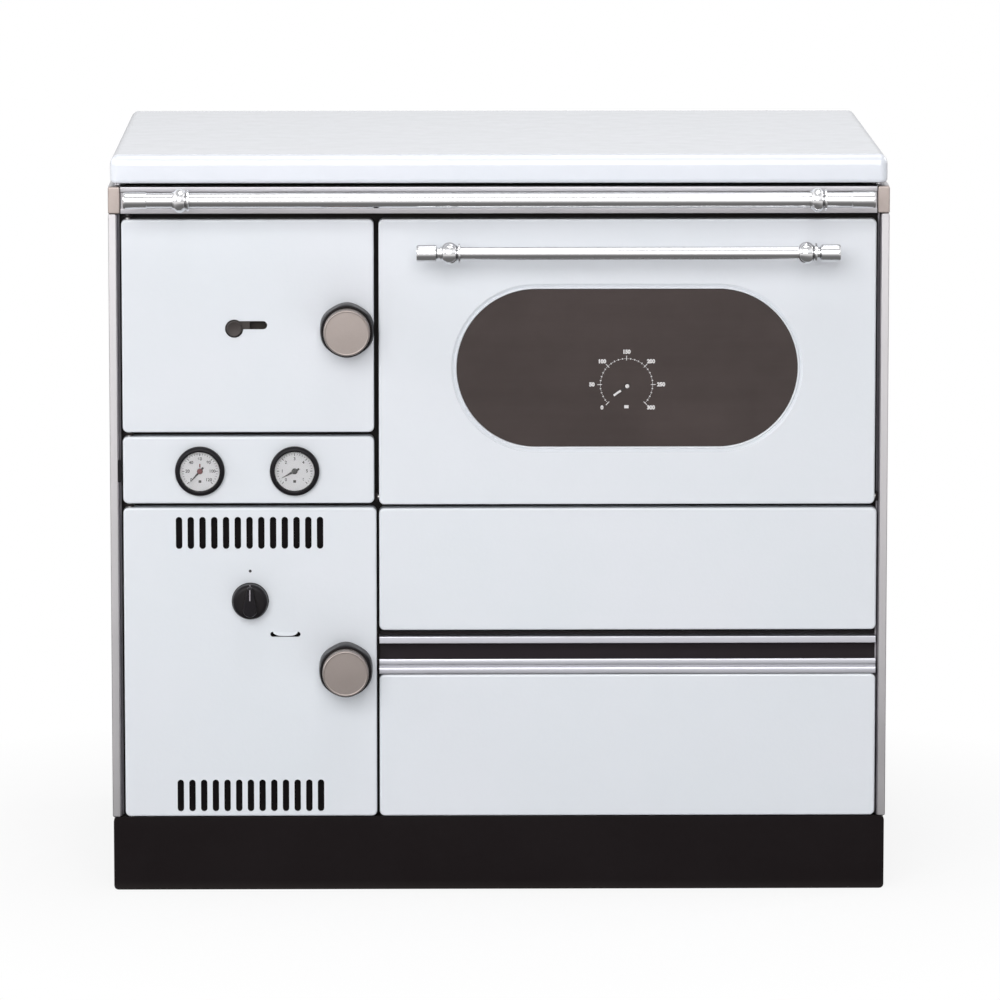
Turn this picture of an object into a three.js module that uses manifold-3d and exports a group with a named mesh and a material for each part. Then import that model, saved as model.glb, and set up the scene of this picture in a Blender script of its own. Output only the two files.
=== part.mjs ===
// A free-standing wood cookstove with an oven, a boiler jacket, a fuel drawer and a folding lid.
// Millimetres. +X to the viewer's right, +Y to the back, +Z up. The origin is on the floor, in
// the middle of the stove.
import * as THREE from 'three';
import { mergeVertices } from 'three/addons/utils/BufferGeometryUtils.js';
import Module from 'manifold-3d';

const wasm = await Module();
wasm.setup();

// ---- Driving dimensions -------------------------------------------------------------------

// Casing
const WIDTH = 900;
const DEPTH = 600; // from the door faces to the back edge
const PLINTH_HEIGHT = 86;
const PLINTH_RECESS = 3;
const PLINTH_SHEET = 4;
const SIDE_SHEET = 4;
const TRIM_WIDTH = 9.4;
const TRIM_RECESS = 2;
const TRIM_DEPTH = 18;
const TRIM_EDGE = 2;
const SEAT_GAP = 0.3; // between pieces that rest on each other
const RUN_GAP = 0.3; // round a pin or spindle that turns

// Doors and panels: pressed pans
const PAN_DEPTH = 20;
const PAN_SHEET = 2.5;
const PAN_CORNER = 5;
const PAN_EDGE = 2;
const DOOR_INSET = 15; // side of the stove to the edge of the outer pans
const PLINTH_GAP = 1.5;
const LEFT_ROW_GAP = 5;
const RIGHT_ROW_GAP = 4.5;
const ASH_DOOR_WIDTH = 293;
const ASH_DOOR_HEIGHT = 363;
const GAUGE_PANEL_WIDTH = 290.5;
const GAUGE_PANEL_HEIGHT = 78;
const FIREBOX_DOOR_WIDTH = 290.5;
const FIREBOX_DOOR_HEIGHT = 247;
const COLUMN_GAP = 3;
const DRAWER_HEIGHT = 166.5;
const GRIP_ZONE_HEIGHT = 52.5; // finger gap between the drawer and the soot cover
const SOOT_COVER_HEIGHT = 143;
const SIDE_RUN_GAP = 3; // drawer and soot cover to the corner trim

// Front frame and hinges
const FRAME_GAP = 5; // back of the pans to the frame
const FRAME_SHEET = 8;
const FRAME_LIP = 20; // frame showing inside the edge of a pan
const HINGE_ROD = 6;
const HINGE_FROM_EDGE = 7;
const HINGE_FROM_FACE = 9;
const HINGE_LUG = 2.8;
const HINGE_LUG_WIDTH = 10;
const LINER_PLATE = 6;
const LINER_CLEARANCE = 6; // round a door's inner plug in its opening
const LINER_REACH = 5; // how far a plug stands in behind the frame
const LINER_BOSS = 14;

// Hob, frame and lid
const TOP_GAP = 6.5; // over the doors
const HOB_FRAME_HEIGHT = 31;
const HOB_FRAME_WIDTH = 18;
const HOB_FRAME_LEDGE = 8;
const HOB_FRAME_GROOVE = 3;
const HOB_FRAME_BAND = 6; // bright band over and under the groove
const HOB_PLATE = 14;
const HOB_PLATE_CLEARANCE = 1.5;
const RING_CLEARANCE = 1.2; // on the diameter of a loose ring
const FIRE_HOLE = 240;
const RING_HOLE = 130;
const RING_STEP = 7;
const LIFTER_HOLE = 13;
const CAP_SIZE = 14;
const CAP_CORNER = 2;
const LID_GAP = 4;
const LID_HEIGHT = 33;
const LID_SHEET = 3;
const LID_WALL = 5; // along the back
const LID_RIM = 13; // at the sides and front, past the rounded edge
const LID_EDGE = 9;
const LID_CORNER = 10;
const LID_HINGE_FROM_BACK = 10;
const LID_HINGE_RISE = 4;
const LID_LUG_WIDTH = 16;
const LID_LUG_INSET = 50; // side of the lid to the middle of a hinge lug
const LID_PAD = 10;
const FIRE_HOLE_Y = -20;

// Guard rail
const RAIL_DIAMETER = 19;
const RAIL_STAND_OFF = 43;
const RAIL_INSET = 19;
const RAIL_RISE = 4; // over the middle of the hob frame
const RAIL_POST_INSET = 85; // side of the stove to the middle of a post
const RAIL_BALL_HEIGHT = 28;
const RAIL_BALL_WIDTH = 19;
const RAIL_STEM = 10;

// Latch knobs, air controls and gauges
const KNOB_FROM_EDGE = 31;
const FIREBOX_KNOB_HEIGHT = 119.5; // over the bottom edge of its door
const ASH_KNOB_HEIGHT = 174;
const KNOB_BASE = 70; // across the corners of the hexagon
const KNOB_BASE_DEPTH = 18;
const KNOB_BASE_EDGE = 2;
const KNOB_DISC = 53.6;
const KNOB_DISC_DEPTH = 21;
const KNOB_DISC_EDGE = 3.5;
const SPINDLE = 10;
const HOOK_LENGTH = 22;
const HOOK_WIDTH = 12;
const HOOK_SHEET = 6;
const HOOK_CLEARANCE = 4; // behind the frame and in front of the boiler
const KEYHOLE_X = 129.5; // from the hinge edge of the firebox door
const KEYHOLE_HEIGHT = 120.5;
const KEYHOLE_DIAMETER = 16;
const KEYHOLE_SLOT = 9.5;
const KEYHOLE_LENGTH = 33;
const KEYHOLE_RISE = 4; // slot over the middle of the round hole
const SLIDER_HEAD = 18;
const SLIDER_HEAD_SHEET = 3;
const SLIDER_PIN = 8;
const SLIDER_WASHER = 2;
const AIR_SLOTS = 13;
const AIR_SLOT_WIDTH = 7.4;
const AIR_SLOT_LENGTH = 37.5;
const AIR_SLOT_PITCH = 13.6;
const AIR_SLOTS_X = 146;
const UPPER_SLOTS_HEIGHT = 333.5;
const LOWER_SLOTS_HEIGHT = 24.5;
const THERMOSTAT_X = 146.5;
const THERMOSTAT_HEIGHT = 254;
const THERMOSTAT_DIAMETER = 43;
const THERMOSTAT_DEPTH = 14;
const THERMOSTAT_GRIP = 9;
const THERMOSTAT_EDGE = 3;
const LOUVRE_X = 187;
const LOUVRE_HEIGHT = 214.5;
const LOUVRE_WIDTH = 35;
const LOUVRE_GAP = 6;
const FLAP_WIDTH = 120;
const FLAP_HEIGHT = 46;
const FLAP_SHEET = 3;
const FLAP_OVERLAP = 8; // round the air port
const THERMOMETER_X = 89;
const MANOMETER_X = 198.5;
const GAUGE_HEIGHT = 38; // over the bottom edge of the gauge panel
const GAUGE_BEZEL = 57.5;
const GAUGE_DIAL = 46;
const GAUGE_BODY = 50;
const GAUGE_BODY_DEPTH = 24;
const GAUGE_PROUD = 8;
const GAUGE_EDGE = 2;
const LENS_RECESS = 1;
const DIAL_DEPTH = 6;
const LENS_SHEET = 1.5;
const NEEDLE_SHEET = 0.8;
const NEEDLE_HUB = 7;
const NEEDLE_CLEARANCE = 5; // from its tip to the rim of the dial
const NEEDLE_TAIL = 6;
const NEEDLE_WIDTH = 3;
const THERMOMETER_AT = -42; // degrees from straight down
const MANOMETER_AT = -62;

// Oven door, handle and dial
const WINDOW_WIDTH = 394;
const WINDOW_HEIGHT = 183.4;
const WINDOW_Z = 158.7; // centre, over the bottom edge of the oven door
const WINDOW_RIM = 6;
const GLASS_SHEET = 4;
const GLASS_OVERLAP = 7;
const HANDLE_DIAMETER = 15;
const HANDLE_LENGTH = 487;
const HANDLE_END = 20;
const HANDLE_END_LENGTH = 24;
const HANDLE_DROP = 35.5; // from the top edge of the oven door
const HANDLE_STAND_OFF = 38;
const HANDLE_POST_X = 204.5;
const HANDLE_BALL_WIDTH = 23;
const HANDLE_BALL_HEIGHT = 26;
const HANDLE_STEM = 10;
const DIAL_Z = 137.5;
const DIAL_NEEDLE = 19;
const DIAL_NEEDLE_TAIL = 5;
const DIAL_NEEDLE_WIDTH = 4;
const DIAL_NEEDLE_AT = 55; // degrees from straight down
const DIAL_HOLE = 6;
const DIAL_HOUSING = 30;
const DIAL_HOUSING_DEPTH = 10;

// Drawer, soot cover and grip channel
const DRAWER_SHEET = 2.5;
const DRAWER_BOX_DEPTH = 450;
const DRAWER_BOX_HEIGHT = 130;
const DRAWER_CLEARANCE = 5;
const GUIDE_HEIGHT = 9;
const GUIDE_WIDTH = 16;
const GRIP_DROP = 8; // soot cover down to the lip
const GRIP_LIP = 8;
const GRIP_STEP = 9;
const COVER_HOOK = 20;

// Fire side
const BOILER_WALL = 14;
const BOILER_BACK_WALL = 34;
const BOILER_DEPTH = 500;
const GRATE_DROP = 160.5; // from the firebox opening down to the grate
const GRATE_THICKNESS = 18;
const GRATE_LEDGE = 14;
const GRATE_CLEARANCE = 2;
const GRATE_BARS = 8;
const ASH_PAN_HEIGHT = 110;
const ASH_PAN_SHEET = 2.5;
const ASH_PAN_CLEARANCE = 6;
const ASH_PAN_TAB = 68; // width of its pull
const ASH_PAN_SET_BACK = 30; // leaves room for the air flap to swing
const BOILER_INSET = 20; // insulation beside it
const SMOKE_WAY = 45; // from the fire over the oven

// Oven side
const OVEN_SHEET = 4;
const OVEN_DEPTH = 450;
const OVEN_SILL = 12; // frame under the oven opening
const OVEN_HEAD = 30; // frame over the oven opening
const RACK_HEIGHT = 120; // over the oven floor
const RACK_BAR = 6;
const RACK_BARS = 9;
const RACK_LEDGE = 10;
const HATCH_SHEET = 3;
const HATCH_KNOB = 24;
const HATCH_STEM = 12;
const FLUE_DIAMETER = 150;
const FLUE_SHEET = 4;
const FLUE_FLANGE = 16; // width of the ring inside the back sheet
const FLUE_FROM_SIDE = 150;
const FLUE_FROM_TOP = 102; // under the hob frame
const PIPE_DIAMETER = 33.7;
const PIPE_BORE = 27;
const PIPE_REACH = 40;
const PIPE_FROM_SIDE = 150;
const SUPPLY_FROM_TOP = 72; // under the hob frame
const RETURN_FROM_PLINTH = 84;
const BACK_SHEET = 4;
const BACK_RECESS = 2;

// Facets round a full circle
const ROUND = 24;
const ROUND_SMALL = 8;

// ---- Levels and edges worked out from them ------------------------------------------------

const HALF = WIDTH / 2;
const FRONT = -DEPTH / 2;
const BACK = DEPTH / 2;
const LEFT_EDGE = -HALF + DOOR_INSET;
const RIGHT_EDGE = HALF - DOOR_INSET;
const RIGHT_COLUMN = LEFT_EDGE + ASH_DOOR_WIDTH + COLUMN_GAP;
const LOW_RIGHT_EDGE = HALF - TRIM_WIDTH - SIDE_RUN_GAP;
const PAN_BACK = FRONT + PAN_DEPTH;
const FRAME_FRONT = PAN_BACK + FRAME_GAP;
const FRAME_BACK = FRAME_FRONT + FRAME_SHEET;
const DOORS_BOTTOM = PLINTH_HEIGHT + PLINTH_GAP;
const ASH_TOP = DOORS_BOTTOM + ASH_DOOR_HEIGHT;
const GAUGE_BOTTOM = ASH_TOP + LEFT_ROW_GAP;
const GAUGE_TOP = GAUGE_BOTTOM + GAUGE_PANEL_HEIGHT;
const FIREBOX_BOTTOM = GAUGE_TOP + LEFT_ROW_GAP;
const DOORS_TOP = FIREBOX_BOTTOM + FIREBOX_DOOR_HEIGHT;
const DRAWER_TOP = DOORS_BOTTOM + DRAWER_HEIGHT;
const SOOT_BOTTOM = DRAWER_TOP + GRIP_ZONE_HEIGHT;
const SOOT_TOP = SOOT_BOTTOM + SOOT_COVER_HEIGHT;
const OVEN_BOTTOM = SOOT_TOP + RIGHT_ROW_GAP;
const OVEN_DOOR_HEIGHT = DOORS_TOP - OVEN_BOTTOM;
const OVEN_DOOR_WIDTH = RIGHT_EDGE - RIGHT_COLUMN;
const OVEN_MIDDLE = OVEN_DOOR_WIDTH / 2; // of the window, dial and handle
const HOB_FRAME_BOTTOM = DOORS_TOP + TOP_GAP;
const HOB_FRAME_TOP = HOB_FRAME_BOTTOM + HOB_FRAME_HEIGHT;
const LID_BOTTOM = HOB_FRAME_TOP + LID_GAP;
const FLOOR_TOP = PLINTH_HEIGHT + SEAT_GAP + SIDE_SHEET;
const SIDE_FRONT = FRONT + TRIM_RECESS + TRIM_DEPTH + SEAT_GAP;
const BACK_FRONT = BACK - BACK_RECESS - BACK_SHEET;
const CASING_BACK = BACK_FRONT - SEAT_GAP;
const FLUE_X = HALF - FLUE_FROM_SIDE;
const FLUE_Z = HOB_FRAME_BOTTOM - FLUE_FROM_TOP;
const PIPE_X = PIPE_FROM_SIDE - HALF;
const SUPPLY_Z = HOB_FRAME_BOTTOM - SUPPLY_FROM_TOP;
const RETURN_Z = PLINTH_HEIGHT + RETURN_FROM_PLINTH;
const INNER = HALF - SIDE_SHEET - SEAT_GAP; // inside the side panels

// ---- Materials ----------------------------------------------------------------------------

const material = (color, roughness, metalness) =>
  new THREE.MeshStandardMaterial({ color, roughness, metalness });
const enamel = () => material(0xe0e4ec, 0.22, 0);
const stainless = () => material(0xcdc8c8, 0.35, 1);
const chrome = () => material(0xdadada, 0.12, 1);
const blackSteel = () => material(0x1e191a, 0.6, 0.2);
const sheetSteel = () => material(0x6a6664, 0.5, 0.8);
const castIron = () => material(0x3a3838, 0.7, 0.6);
const aluminium = () => material(0xc2c4c6, 0.4, 0.9);
const bakelite = () => material(0x151515, 0.35, 0);

// ---- Solid shapes -------------------------------------------------------------------------

// A closed geometry as a solid that can be joined and cut.
function solid(geometry) {
  geometry.deleteAttribute('normal');
  geometry.deleteAttribute('uv');
  const merged = mergeVertices(geometry, 1e-4);
  const corners = Array.from(merged.index.array);
  const triangles = [];
  for (let i = 0; i < corners.length; i += 3) {
    const [a, b, c] = corners.slice(i, i + 3);
    if (a !== b && b !== c && c !== a) triangles.push(a, b, c);
  }
  return new wasm.Manifold(new wasm.Mesh({
    numProp: 3,
    vertProperties: new Float32Array(merged.attributes.position.array),
    triVerts: new Uint32Array(triangles),
  }));
}

// A box between two opposite corners.
function block(low, high) {
  const size = high.map((value, axis) => value - low[axis]);
  const geometry = new THREE.BoxGeometry(...size);
  geometry.translate(...low.map((value, axis) => value + size[axis] / 2));
  return solid(geometry);
}

// A round bar along an axis, from one station to another; across holds its other two
// coordinates in X, Y, Z order.
function bar(axis, diameter, from, to, across, facets = ROUND) {
  const geometry = new THREE.CylinderGeometry(diameter / 2, diameter / 2, to - from, facets);
  const middle = (from + to) / 2;
  if (axis === 'x') {
    geometry.rotateZ(Math.PI / 2);
    geometry.translate(middle, across[0], across[1]);
  } else if (axis === 'y') {
    geometry.translate(across[0], middle, across[1]);
  } else {
    geometry.rotateX(Math.PI / 2);
    geometry.translate(across[0], across[1], middle);
  }
  return solid(geometry);
}

// A shape turned about an axis that points along -Y from the place given; the outline runs
// from the axis and back to it, as [radius, distance in front].
function turned(outline, x, z, facets = ROUND) {
  const points = outline.map(([radius, front]) => new THREE.Vector2(radius, front));
  const geometry = new THREE.LatheGeometry(points, facets);
  geometry.rotateX(Math.PI);
  geometry.translate(x, 0, z);
  return solid(geometry);
}

// An upright outline in X and Z, from a front station to a back one, with its edges rounded.
function upright(shape, front, back, edge = 0, steps = 1) {
  const geometry = new THREE.ExtrudeGeometry(shape, {
    depth: back - front - 2 * edge,
    bevelEnabled: edge > 0,
    bevelThickness: edge,
    bevelSize: edge,
    bevelOffset: -edge,
    bevelSegments: steps,
    curveSegments: 2,
  });
  geometry.rotateX(Math.PI / 2);
  geometry.translate(0, back - edge, 0);
  return solid(geometry);
}

// A rectangle with round corners.
function roundedRectangle(left, bottom, right, top, radius) {
  const shape = new THREE.Shape();
  shape.moveTo(left + radius, bottom);
  shape.lineTo(right - radius, bottom);
  shape.absarc(right - radius, bottom + radius, radius, -Math.PI / 2, 0);
  shape.lineTo(right, top - radius);
  shape.absarc(right - radius, top - radius, radius, 0, Math.PI / 2);
  shape.lineTo(left + radius, top);
  shape.absarc(left + radius, top - radius, radius, Math.PI / 2, Math.PI);
  shape.lineTo(left, bottom + radius);
  shape.absarc(left + radius, bottom + radius, radius, Math.PI, Math.PI * 1.5);
  return shape;
}

const joined = (first, ...rest) => rest.reduce((whole, next) => whole.add(next), first);
const cut = (first, ...rest) => rest.reduce((whole, next) => whole.subtract(next), first);

const stove = new THREE.Group();

// Adds a solid to a group as a named mesh.
function piece(name, shape, finish, group = stove) {
  const { numProp, vertProperties, triVerts } = shape.getMesh();
  const geometry = new THREE.BufferGeometry();
  geometry.setAttribute('position', new THREE.BufferAttribute(vertProperties, numProp));
  geometry.setIndex(new THREE.BufferAttribute(triVerts, 1));
  const mesh = new THREE.Mesh(geometry, finish);
  mesh.name = name;
  group.add(mesh);
  return mesh;
}

// A group whose own origin is a place on the stove, for the pieces of one assembly.
function assembly(x, y, z, parent = stove) {
  const group = new THREE.Group();
  group.position.set(x, y, z);
  parent.add(group);
  return group;
}

// ---- Plinth, floor, sides and back --------------------------------------------------------

// Sheet-steel base, open underneath, with a hole for the foot of the left hinge rod.
const HINGE_X = LEFT_EDGE + HINGE_FROM_EDGE;
const HINGE_Y = FRONT + HINGE_FROM_FACE;
const HINGE_HOLE = HINGE_ROD + 2 * RUN_GAP;
const plinthFront = FRONT + PLINTH_RECESS;
const plinthBack = BACK - BACK_RECESS;
const plinthHalf = HALF - 1;
const plinthOutline = roundedRectangle(-plinthHalf, 0, plinthHalf, PLINTH_HEIGHT, PAN_CORNER);
piece('plinth', cut(
  upright(plinthOutline, plinthFront, plinthBack),
  block([-plinthHalf + PLINTH_SHEET, plinthFront + PLINTH_SHEET, -PLINTH_SHEET],
    [plinthHalf - PLINTH_SHEET, plinthBack - PLINTH_SHEET, PLINTH_HEIGHT - PLINTH_SHEET]),
  bar('z', HINGE_HOLE, PLINTH_HEIGHT - 2 * PLINTH_SHEET, PLINTH_HEIGHT + 1, [HINGE_X, HINGE_Y]),
), blackSteel());

// Floor pan with the two channels that the drawer slides on.
const drawerLeft = RIGHT_COLUMN + FRAME_LIP;
const drawerRight = RIGHT_EDGE - FRAME_LIP;
const drawerBoxFloor = FLOOR_TOP + GUIDE_HEIGHT + SEAT_GAP;
const drawerBoxBack = PAN_BACK + DRAWER_BOX_DEPTH;
const floorPan = block([-INNER, FRAME_BACK + SEAT_GAP, PLINTH_HEIGHT + SEAT_GAP],
  [INNER, CASING_BACK, FLOOR_TOP]);
const guides = [drawerLeft, drawerRight - GUIDE_WIDTH].map((x) => block(
  [x, FRAME_BACK + SEAT_GAP, PLINTH_HEIGHT + SEAT_GAP],
  [x + GUIDE_WIDTH, drawerBoxBack, FLOOR_TOP + GUIDE_HEIGHT],
));
piece('floor_pan', joined(floorPan, ...guides), sheetSteel());

// Casing sides and the brushed strips that close them at the front.
const casingBottom = PLINTH_HEIGHT + SEAT_GAP;
const casingTop = HOB_FRAME_BOTTOM - SEAT_GAP;
for (const [side, sign] of [['left', -1], ['right', 1]]) {
  const outer = sign * HALF;
  const panelInner = sign * (HALF - SIDE_SHEET);
  const trimInner = sign * (HALF - TRIM_WIDTH);
  piece(`side_panel_${side}`, block(
    [Math.min(outer, panelInner), SIDE_FRONT, casingBottom],
    [Math.max(outer, panelInner), BACK - BACK_RECESS, casingTop],
  ), enamel());
  const trimOutline = roundedRectangle(Math.min(outer, trimInner), casingBottom,
    Math.max(outer, trimInner), casingTop, TRIM_EDGE);
  const trimBack = SIDE_FRONT - SEAT_GAP;
  piece(`corner_trim_${side}`,
    upright(trimOutline, FRONT + TRIM_RECESS, trimBack, TRIM_EDGE / 2), stainless());
}

// Steel front of the carcass, seen in the gaps between the doors. Its lugs carry the rods that
// the doors turn on.
const fireOpening = {
  left: LEFT_EDGE + FRAME_LIP,
  right: LEFT_EDGE + FIREBOX_DOOR_WIDTH - FRAME_LIP,
  bottom: FIREBOX_BOTTOM + FRAME_LIP,
  top: DOORS_TOP - FRAME_LIP,
};
const ashOpening = {
  left: fireOpening.left,
  right: LEFT_EDGE + ASH_DOOR_WIDTH - FRAME_LIP,
  bottom: DOORS_BOTTOM + FRAME_LIP,
  top: ASH_TOP - FRAME_LIP,
};
const ovenOpening = {
  left: RIGHT_COLUMN + FRAME_LIP,
  right: RIGHT_EDGE - FRAME_LIP,
  bottom: OVEN_BOTTOM + FRAME_LIP + OVEN_SILL,
  top: DOORS_TOP - FRAME_LIP - OVEN_HEAD,
};
const sootOpening = {
  left: ovenOpening.left,
  right: ovenOpening.right,
  bottom: SOOT_BOTTOM + FRAME_LIP,
  top: SOOT_TOP - FRAME_LIP,
};
const drawerOpening = {
  left: drawerLeft - DRAWER_CLEARANCE,
  right: drawerRight + DRAWER_CLEARANCE,
  bottom: FLOOR_TOP + SEAT_GAP,
  top: FLOOR_TOP + GUIDE_HEIGHT + DRAWER_BOX_HEIGHT + DRAWER_CLEARANCE,
};
const GAUGE_HOLE = GAUGE_BODY + 2 * RUN_GAP;
const gaugeX = [LEFT_EDGE + THERMOMETER_X, LEFT_EDGE + MANOMETER_X];
const gaugeZ = GAUGE_BOTTOM + GAUGE_HEIGHT;
const through = ({ left, right, bottom, top }) =>
  block([left, FRAME_FRONT - 1, bottom], [right, FRAME_BACK + 1, top]);
const lugBack = FRAME_BACK - 1;
const lugFront = HINGE_Y - HINGE_LUG_WIDTH / 2;
const upLugs = [
  DOORS_TOP + (TOP_GAP - HINGE_LUG) / 2,
  FIREBOX_BOTTOM - (LEFT_ROW_GAP + HINGE_LUG) / 2,
  GAUGE_BOTTOM - (LEFT_ROW_GAP + HINGE_LUG) / 2,
].map((z) => block(
  [HINGE_X - HINGE_LUG_WIDTH / 2, lugFront, z],
  [HINGE_X + HINGE_LUG_WIDTH / 2, lugBack, z + HINGE_LUG],
));
const OVEN_AXIS_Y = FRONT + HINGE_FROM_FACE - 1;
const OVEN_AXIS_Z = OVEN_BOTTOM + HINGE_FROM_FACE - 1;
const ovenLugGap = (HALF - TRIM_WIDTH - RIGHT_EDGE - HINGE_LUG) / 2;
const sideLugs = [
  RIGHT_COLUMN - ovenLugGap - HINGE_LUG,
  RIGHT_EDGE + ovenLugGap,
].map((x) => block(
  [x, OVEN_AXIS_Y - HINGE_LUG_WIDTH / 2, OVEN_AXIS_Z - HINGE_LUG_WIDTH / 2],
  [x + HINGE_LUG, lugBack, OVEN_AXIS_Z + HINGE_LUG_WIDTH / 2],
));
piece('front_frame', cut(
  joined(block([-INNER, FRAME_FRONT, casingBottom], [INNER, FRAME_BACK, casingTop]),
    ...upLugs, ...sideLugs),
  ...[fireOpening, ashOpening, ovenOpening, sootOpening, drawerOpening].map(through),
  ...gaugeX.map((x) => bar('y', GAUGE_HOLE, FRAME_FRONT - 1, FRAME_BACK + 1, [x, gaugeZ])),
  bar('z', HINGE_HOLE, PLINTH_HEIGHT, HOB_FRAME_BOTTOM, [HINGE_X, HINGE_Y], ROUND_SMALL),
  bar('x', HINGE_HOLE, RIGHT_COLUMN - COLUMN_GAP - SIDE_SHEET, HALF,
    [OVEN_AXIS_Y, OVEN_AXIS_Z], ROUND_SMALL),
), sheetSteel());
const rodTop = HOB_FRAME_BOTTOM - 1;
const rodFoot = PLINTH_HEIGHT - PLINTH_SHEET - HINGE_ROD / 2;
piece('left_hinge_rod', bar('z', HINGE_ROD, rodFoot, rodTop, [HINGE_X, HINGE_Y], ROUND_SMALL),
  stainless());
piece('oven_hinge_rod', bar('x', HINGE_ROD, RIGHT_COLUMN - ovenLugGap - HINGE_LUG,
  RIGHT_EDGE + ovenLugGap + HINGE_LUG, [OVEN_AXIS_Y, OVEN_AXIS_Z], ROUND_SMALL), stainless());

// Back sheet with holes for the flue and the two water pipes.
const flueHole = FLUE_DIAMETER + 2 * RUN_GAP;
const pipeHole = PIPE_DIAMETER + 2 * RUN_GAP;
const lidAxisY = BACK - LID_HINGE_FROM_BACK;
const lidAxisZ = LID_BOTTOM + LID_HINGE_RISE;
const lidSwing = Math.hypot(LID_HINGE_FROM_BACK, LID_HINGE_RISE) + 1;
const lidLugHalf = HINGE_ROD / 2 + 2;
const lidLugX = [LID_LUG_INSET - HALF, HALF - LID_LUG_INSET];
const lidLugs = lidLugX.map((x) => joined(
  block([x - LID_LUG_WIDTH / 2, lidAxisY - lidLugHalf, casingTop - LID_LUG_WIDTH],
    [x + LID_LUG_WIDTH / 2, BACK - BACK_RECESS, lidAxisZ - lidSwing]),
  block([x - LID_LUG_WIDTH / 2, lidAxisY - lidLugHalf, casingTop - LID_LUG_WIDTH],
    [x + LID_LUG_WIDTH / 2, lidAxisY + HINGE_ROD / 2, lidAxisZ + lidLugHalf]),
));
piece('back_panel', cut(
  joined(block([-INNER, BACK_FRONT, casingBottom], [INNER, BACK - BACK_RECESS, casingTop]),
    ...lidLugs),
  bar('x', HINGE_HOLE, -HALF, HALF, [lidAxisY, lidAxisZ], ROUND_SMALL),
  bar('y', flueHole, BACK_FRONT - 1, BACK, [FLUE_X, FLUE_Z]),
  ...[SUPPLY_Z, RETURN_Z].map((z) => bar('y', pipeHole, BACK_FRONT - 1, BACK, [PIPE_X, z])),
), sheetSteel());

// ---- Hob, its frame, the lid's rod and the guard rail -------------------------------------

// Bright frame round the hob: a grooved bar in front, a ledge inside for the plate, and two pads
// that the closed lid lies on.
const hobFrameBack = lidAxisY - lidSwing;
const frameInner = HALF - HOB_FRAME_WIDTH;
const frameFrontInner = FRONT + HOB_FRAME_WIDTH;
const frameBackInner = hobFrameBack - HOB_FRAME_WIDTH;
const ledgeTop = HOB_FRAME_BOTTOM + HOB_FRAME_LEDGE;
const capWidth = CAP_SIZE + SEAT_GAP;
const lidPads = [-1, 1].map((sign) => bar('z', LID_PAD, HOB_FRAME_TOP - 1, LID_BOTTOM - SEAT_GAP,
  [sign * (HALF - LID_EDGE - (LID_RIM - LID_EDGE) / 2), FRONT + capWidth + LID_PAD], ROUND_SMALL));
piece('hob_frame', joined(cut(
  block([-HALF, FRONT, HOB_FRAME_BOTTOM], [HALF, hobFrameBack, HOB_FRAME_TOP]),
  block([-frameInner, frameFrontInner, ledgeTop], [frameInner, frameBackInner, HOB_FRAME_TOP + 1]),
  block([-frameInner + HOB_FRAME_LEDGE, frameFrontInner + HOB_FRAME_LEDGE, HOB_FRAME_BOTTOM - 1],
    [frameInner - HOB_FRAME_LEDGE, frameBackInner - HOB_FRAME_LEDGE, HOB_FRAME_TOP]),
  block([-HALF, FRONT - 1, HOB_FRAME_BOTTOM + HOB_FRAME_BAND],
    [HALF, FRONT + HOB_FRAME_GROOVE, HOB_FRAME_TOP - HOB_FRAME_BAND]),
  ...[-HALF - 1, HALF - capWidth].map((x) => block(
    [x, FRONT - 1, HOB_FRAME_BOTTOM - 1],
    [x + capWidth + 1, FRONT + capWidth, HOB_FRAME_TOP + 1],
  )),
), ...lidPads), chrome());

// Metal caps in the notches at the frame's front corners.
for (const [side, sign] of [['left', -1], ['right', 1]]) {
  const edges = [sign * HALF, sign * (HALF - CAP_SIZE)];
  const outline = roundedRectangle(Math.min(...edges), HOB_FRAME_BOTTOM, Math.max(...edges),
    HOB_FRAME_TOP, CAP_CORNER);
  piece(`corner_cap_${side}`, upright(outline, FRONT, FRONT + CAP_SIZE), stainless());
}

// Cast-iron hob with its fire hole, the ring and the middle cap, each on a step of the last.
const fireX = (LEFT_EDGE + RIGHT_COLUMN) / 2;
const plateBottom = ledgeTop + SEAT_GAP;
const plateTop = plateBottom + HOB_PLATE;
const plateMiddle = plateBottom + HOB_PLATE / 2;
const fireHole = [fireX, FIRE_HOLE_Y];
// A round plate with a step under its rim.
const stepped = (diameter) => joined(
  bar('z', diameter, plateMiddle + SEAT_GAP, plateTop, fireHole),
  bar('z', diameter - 2 * RING_STEP, plateBottom, plateMiddle + 2 * SEAT_GAP, fireHole),
);
// The hole that such a plate drops into.
const steppedHole = (diameter) => joined(
  bar('z', diameter, plateMiddle, plateTop + 1, fireHole),
  bar('z', diameter - 2 * RING_STEP, plateBottom - 1, plateMiddle + 1, fireHole),
);
piece('hob_plate', cut(
  block([-frameInner + HOB_PLATE_CLEARANCE, frameFrontInner + HOB_PLATE_CLEARANCE, plateBottom],
    [frameInner - HOB_PLATE_CLEARANCE, frameBackInner - HOB_PLATE_CLEARANCE, plateTop]),
  steppedHole(FIRE_HOLE),
), castIron());
piece('hob_ring', cut(stepped(FIRE_HOLE - RING_CLEARANCE), steppedHole(RING_HOLE)), castIron());
const lifter = [fireX - RING_HOLE / 3, FIRE_HOLE_Y];
piece('hob_ring_cap', cut(stepped(RING_HOLE - RING_CLEARANCE),
  bar('z', LIFTER_HOLE, plateMiddle + 1, plateTop + 1, lifter, ROUND_SMALL)), castIron());

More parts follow.
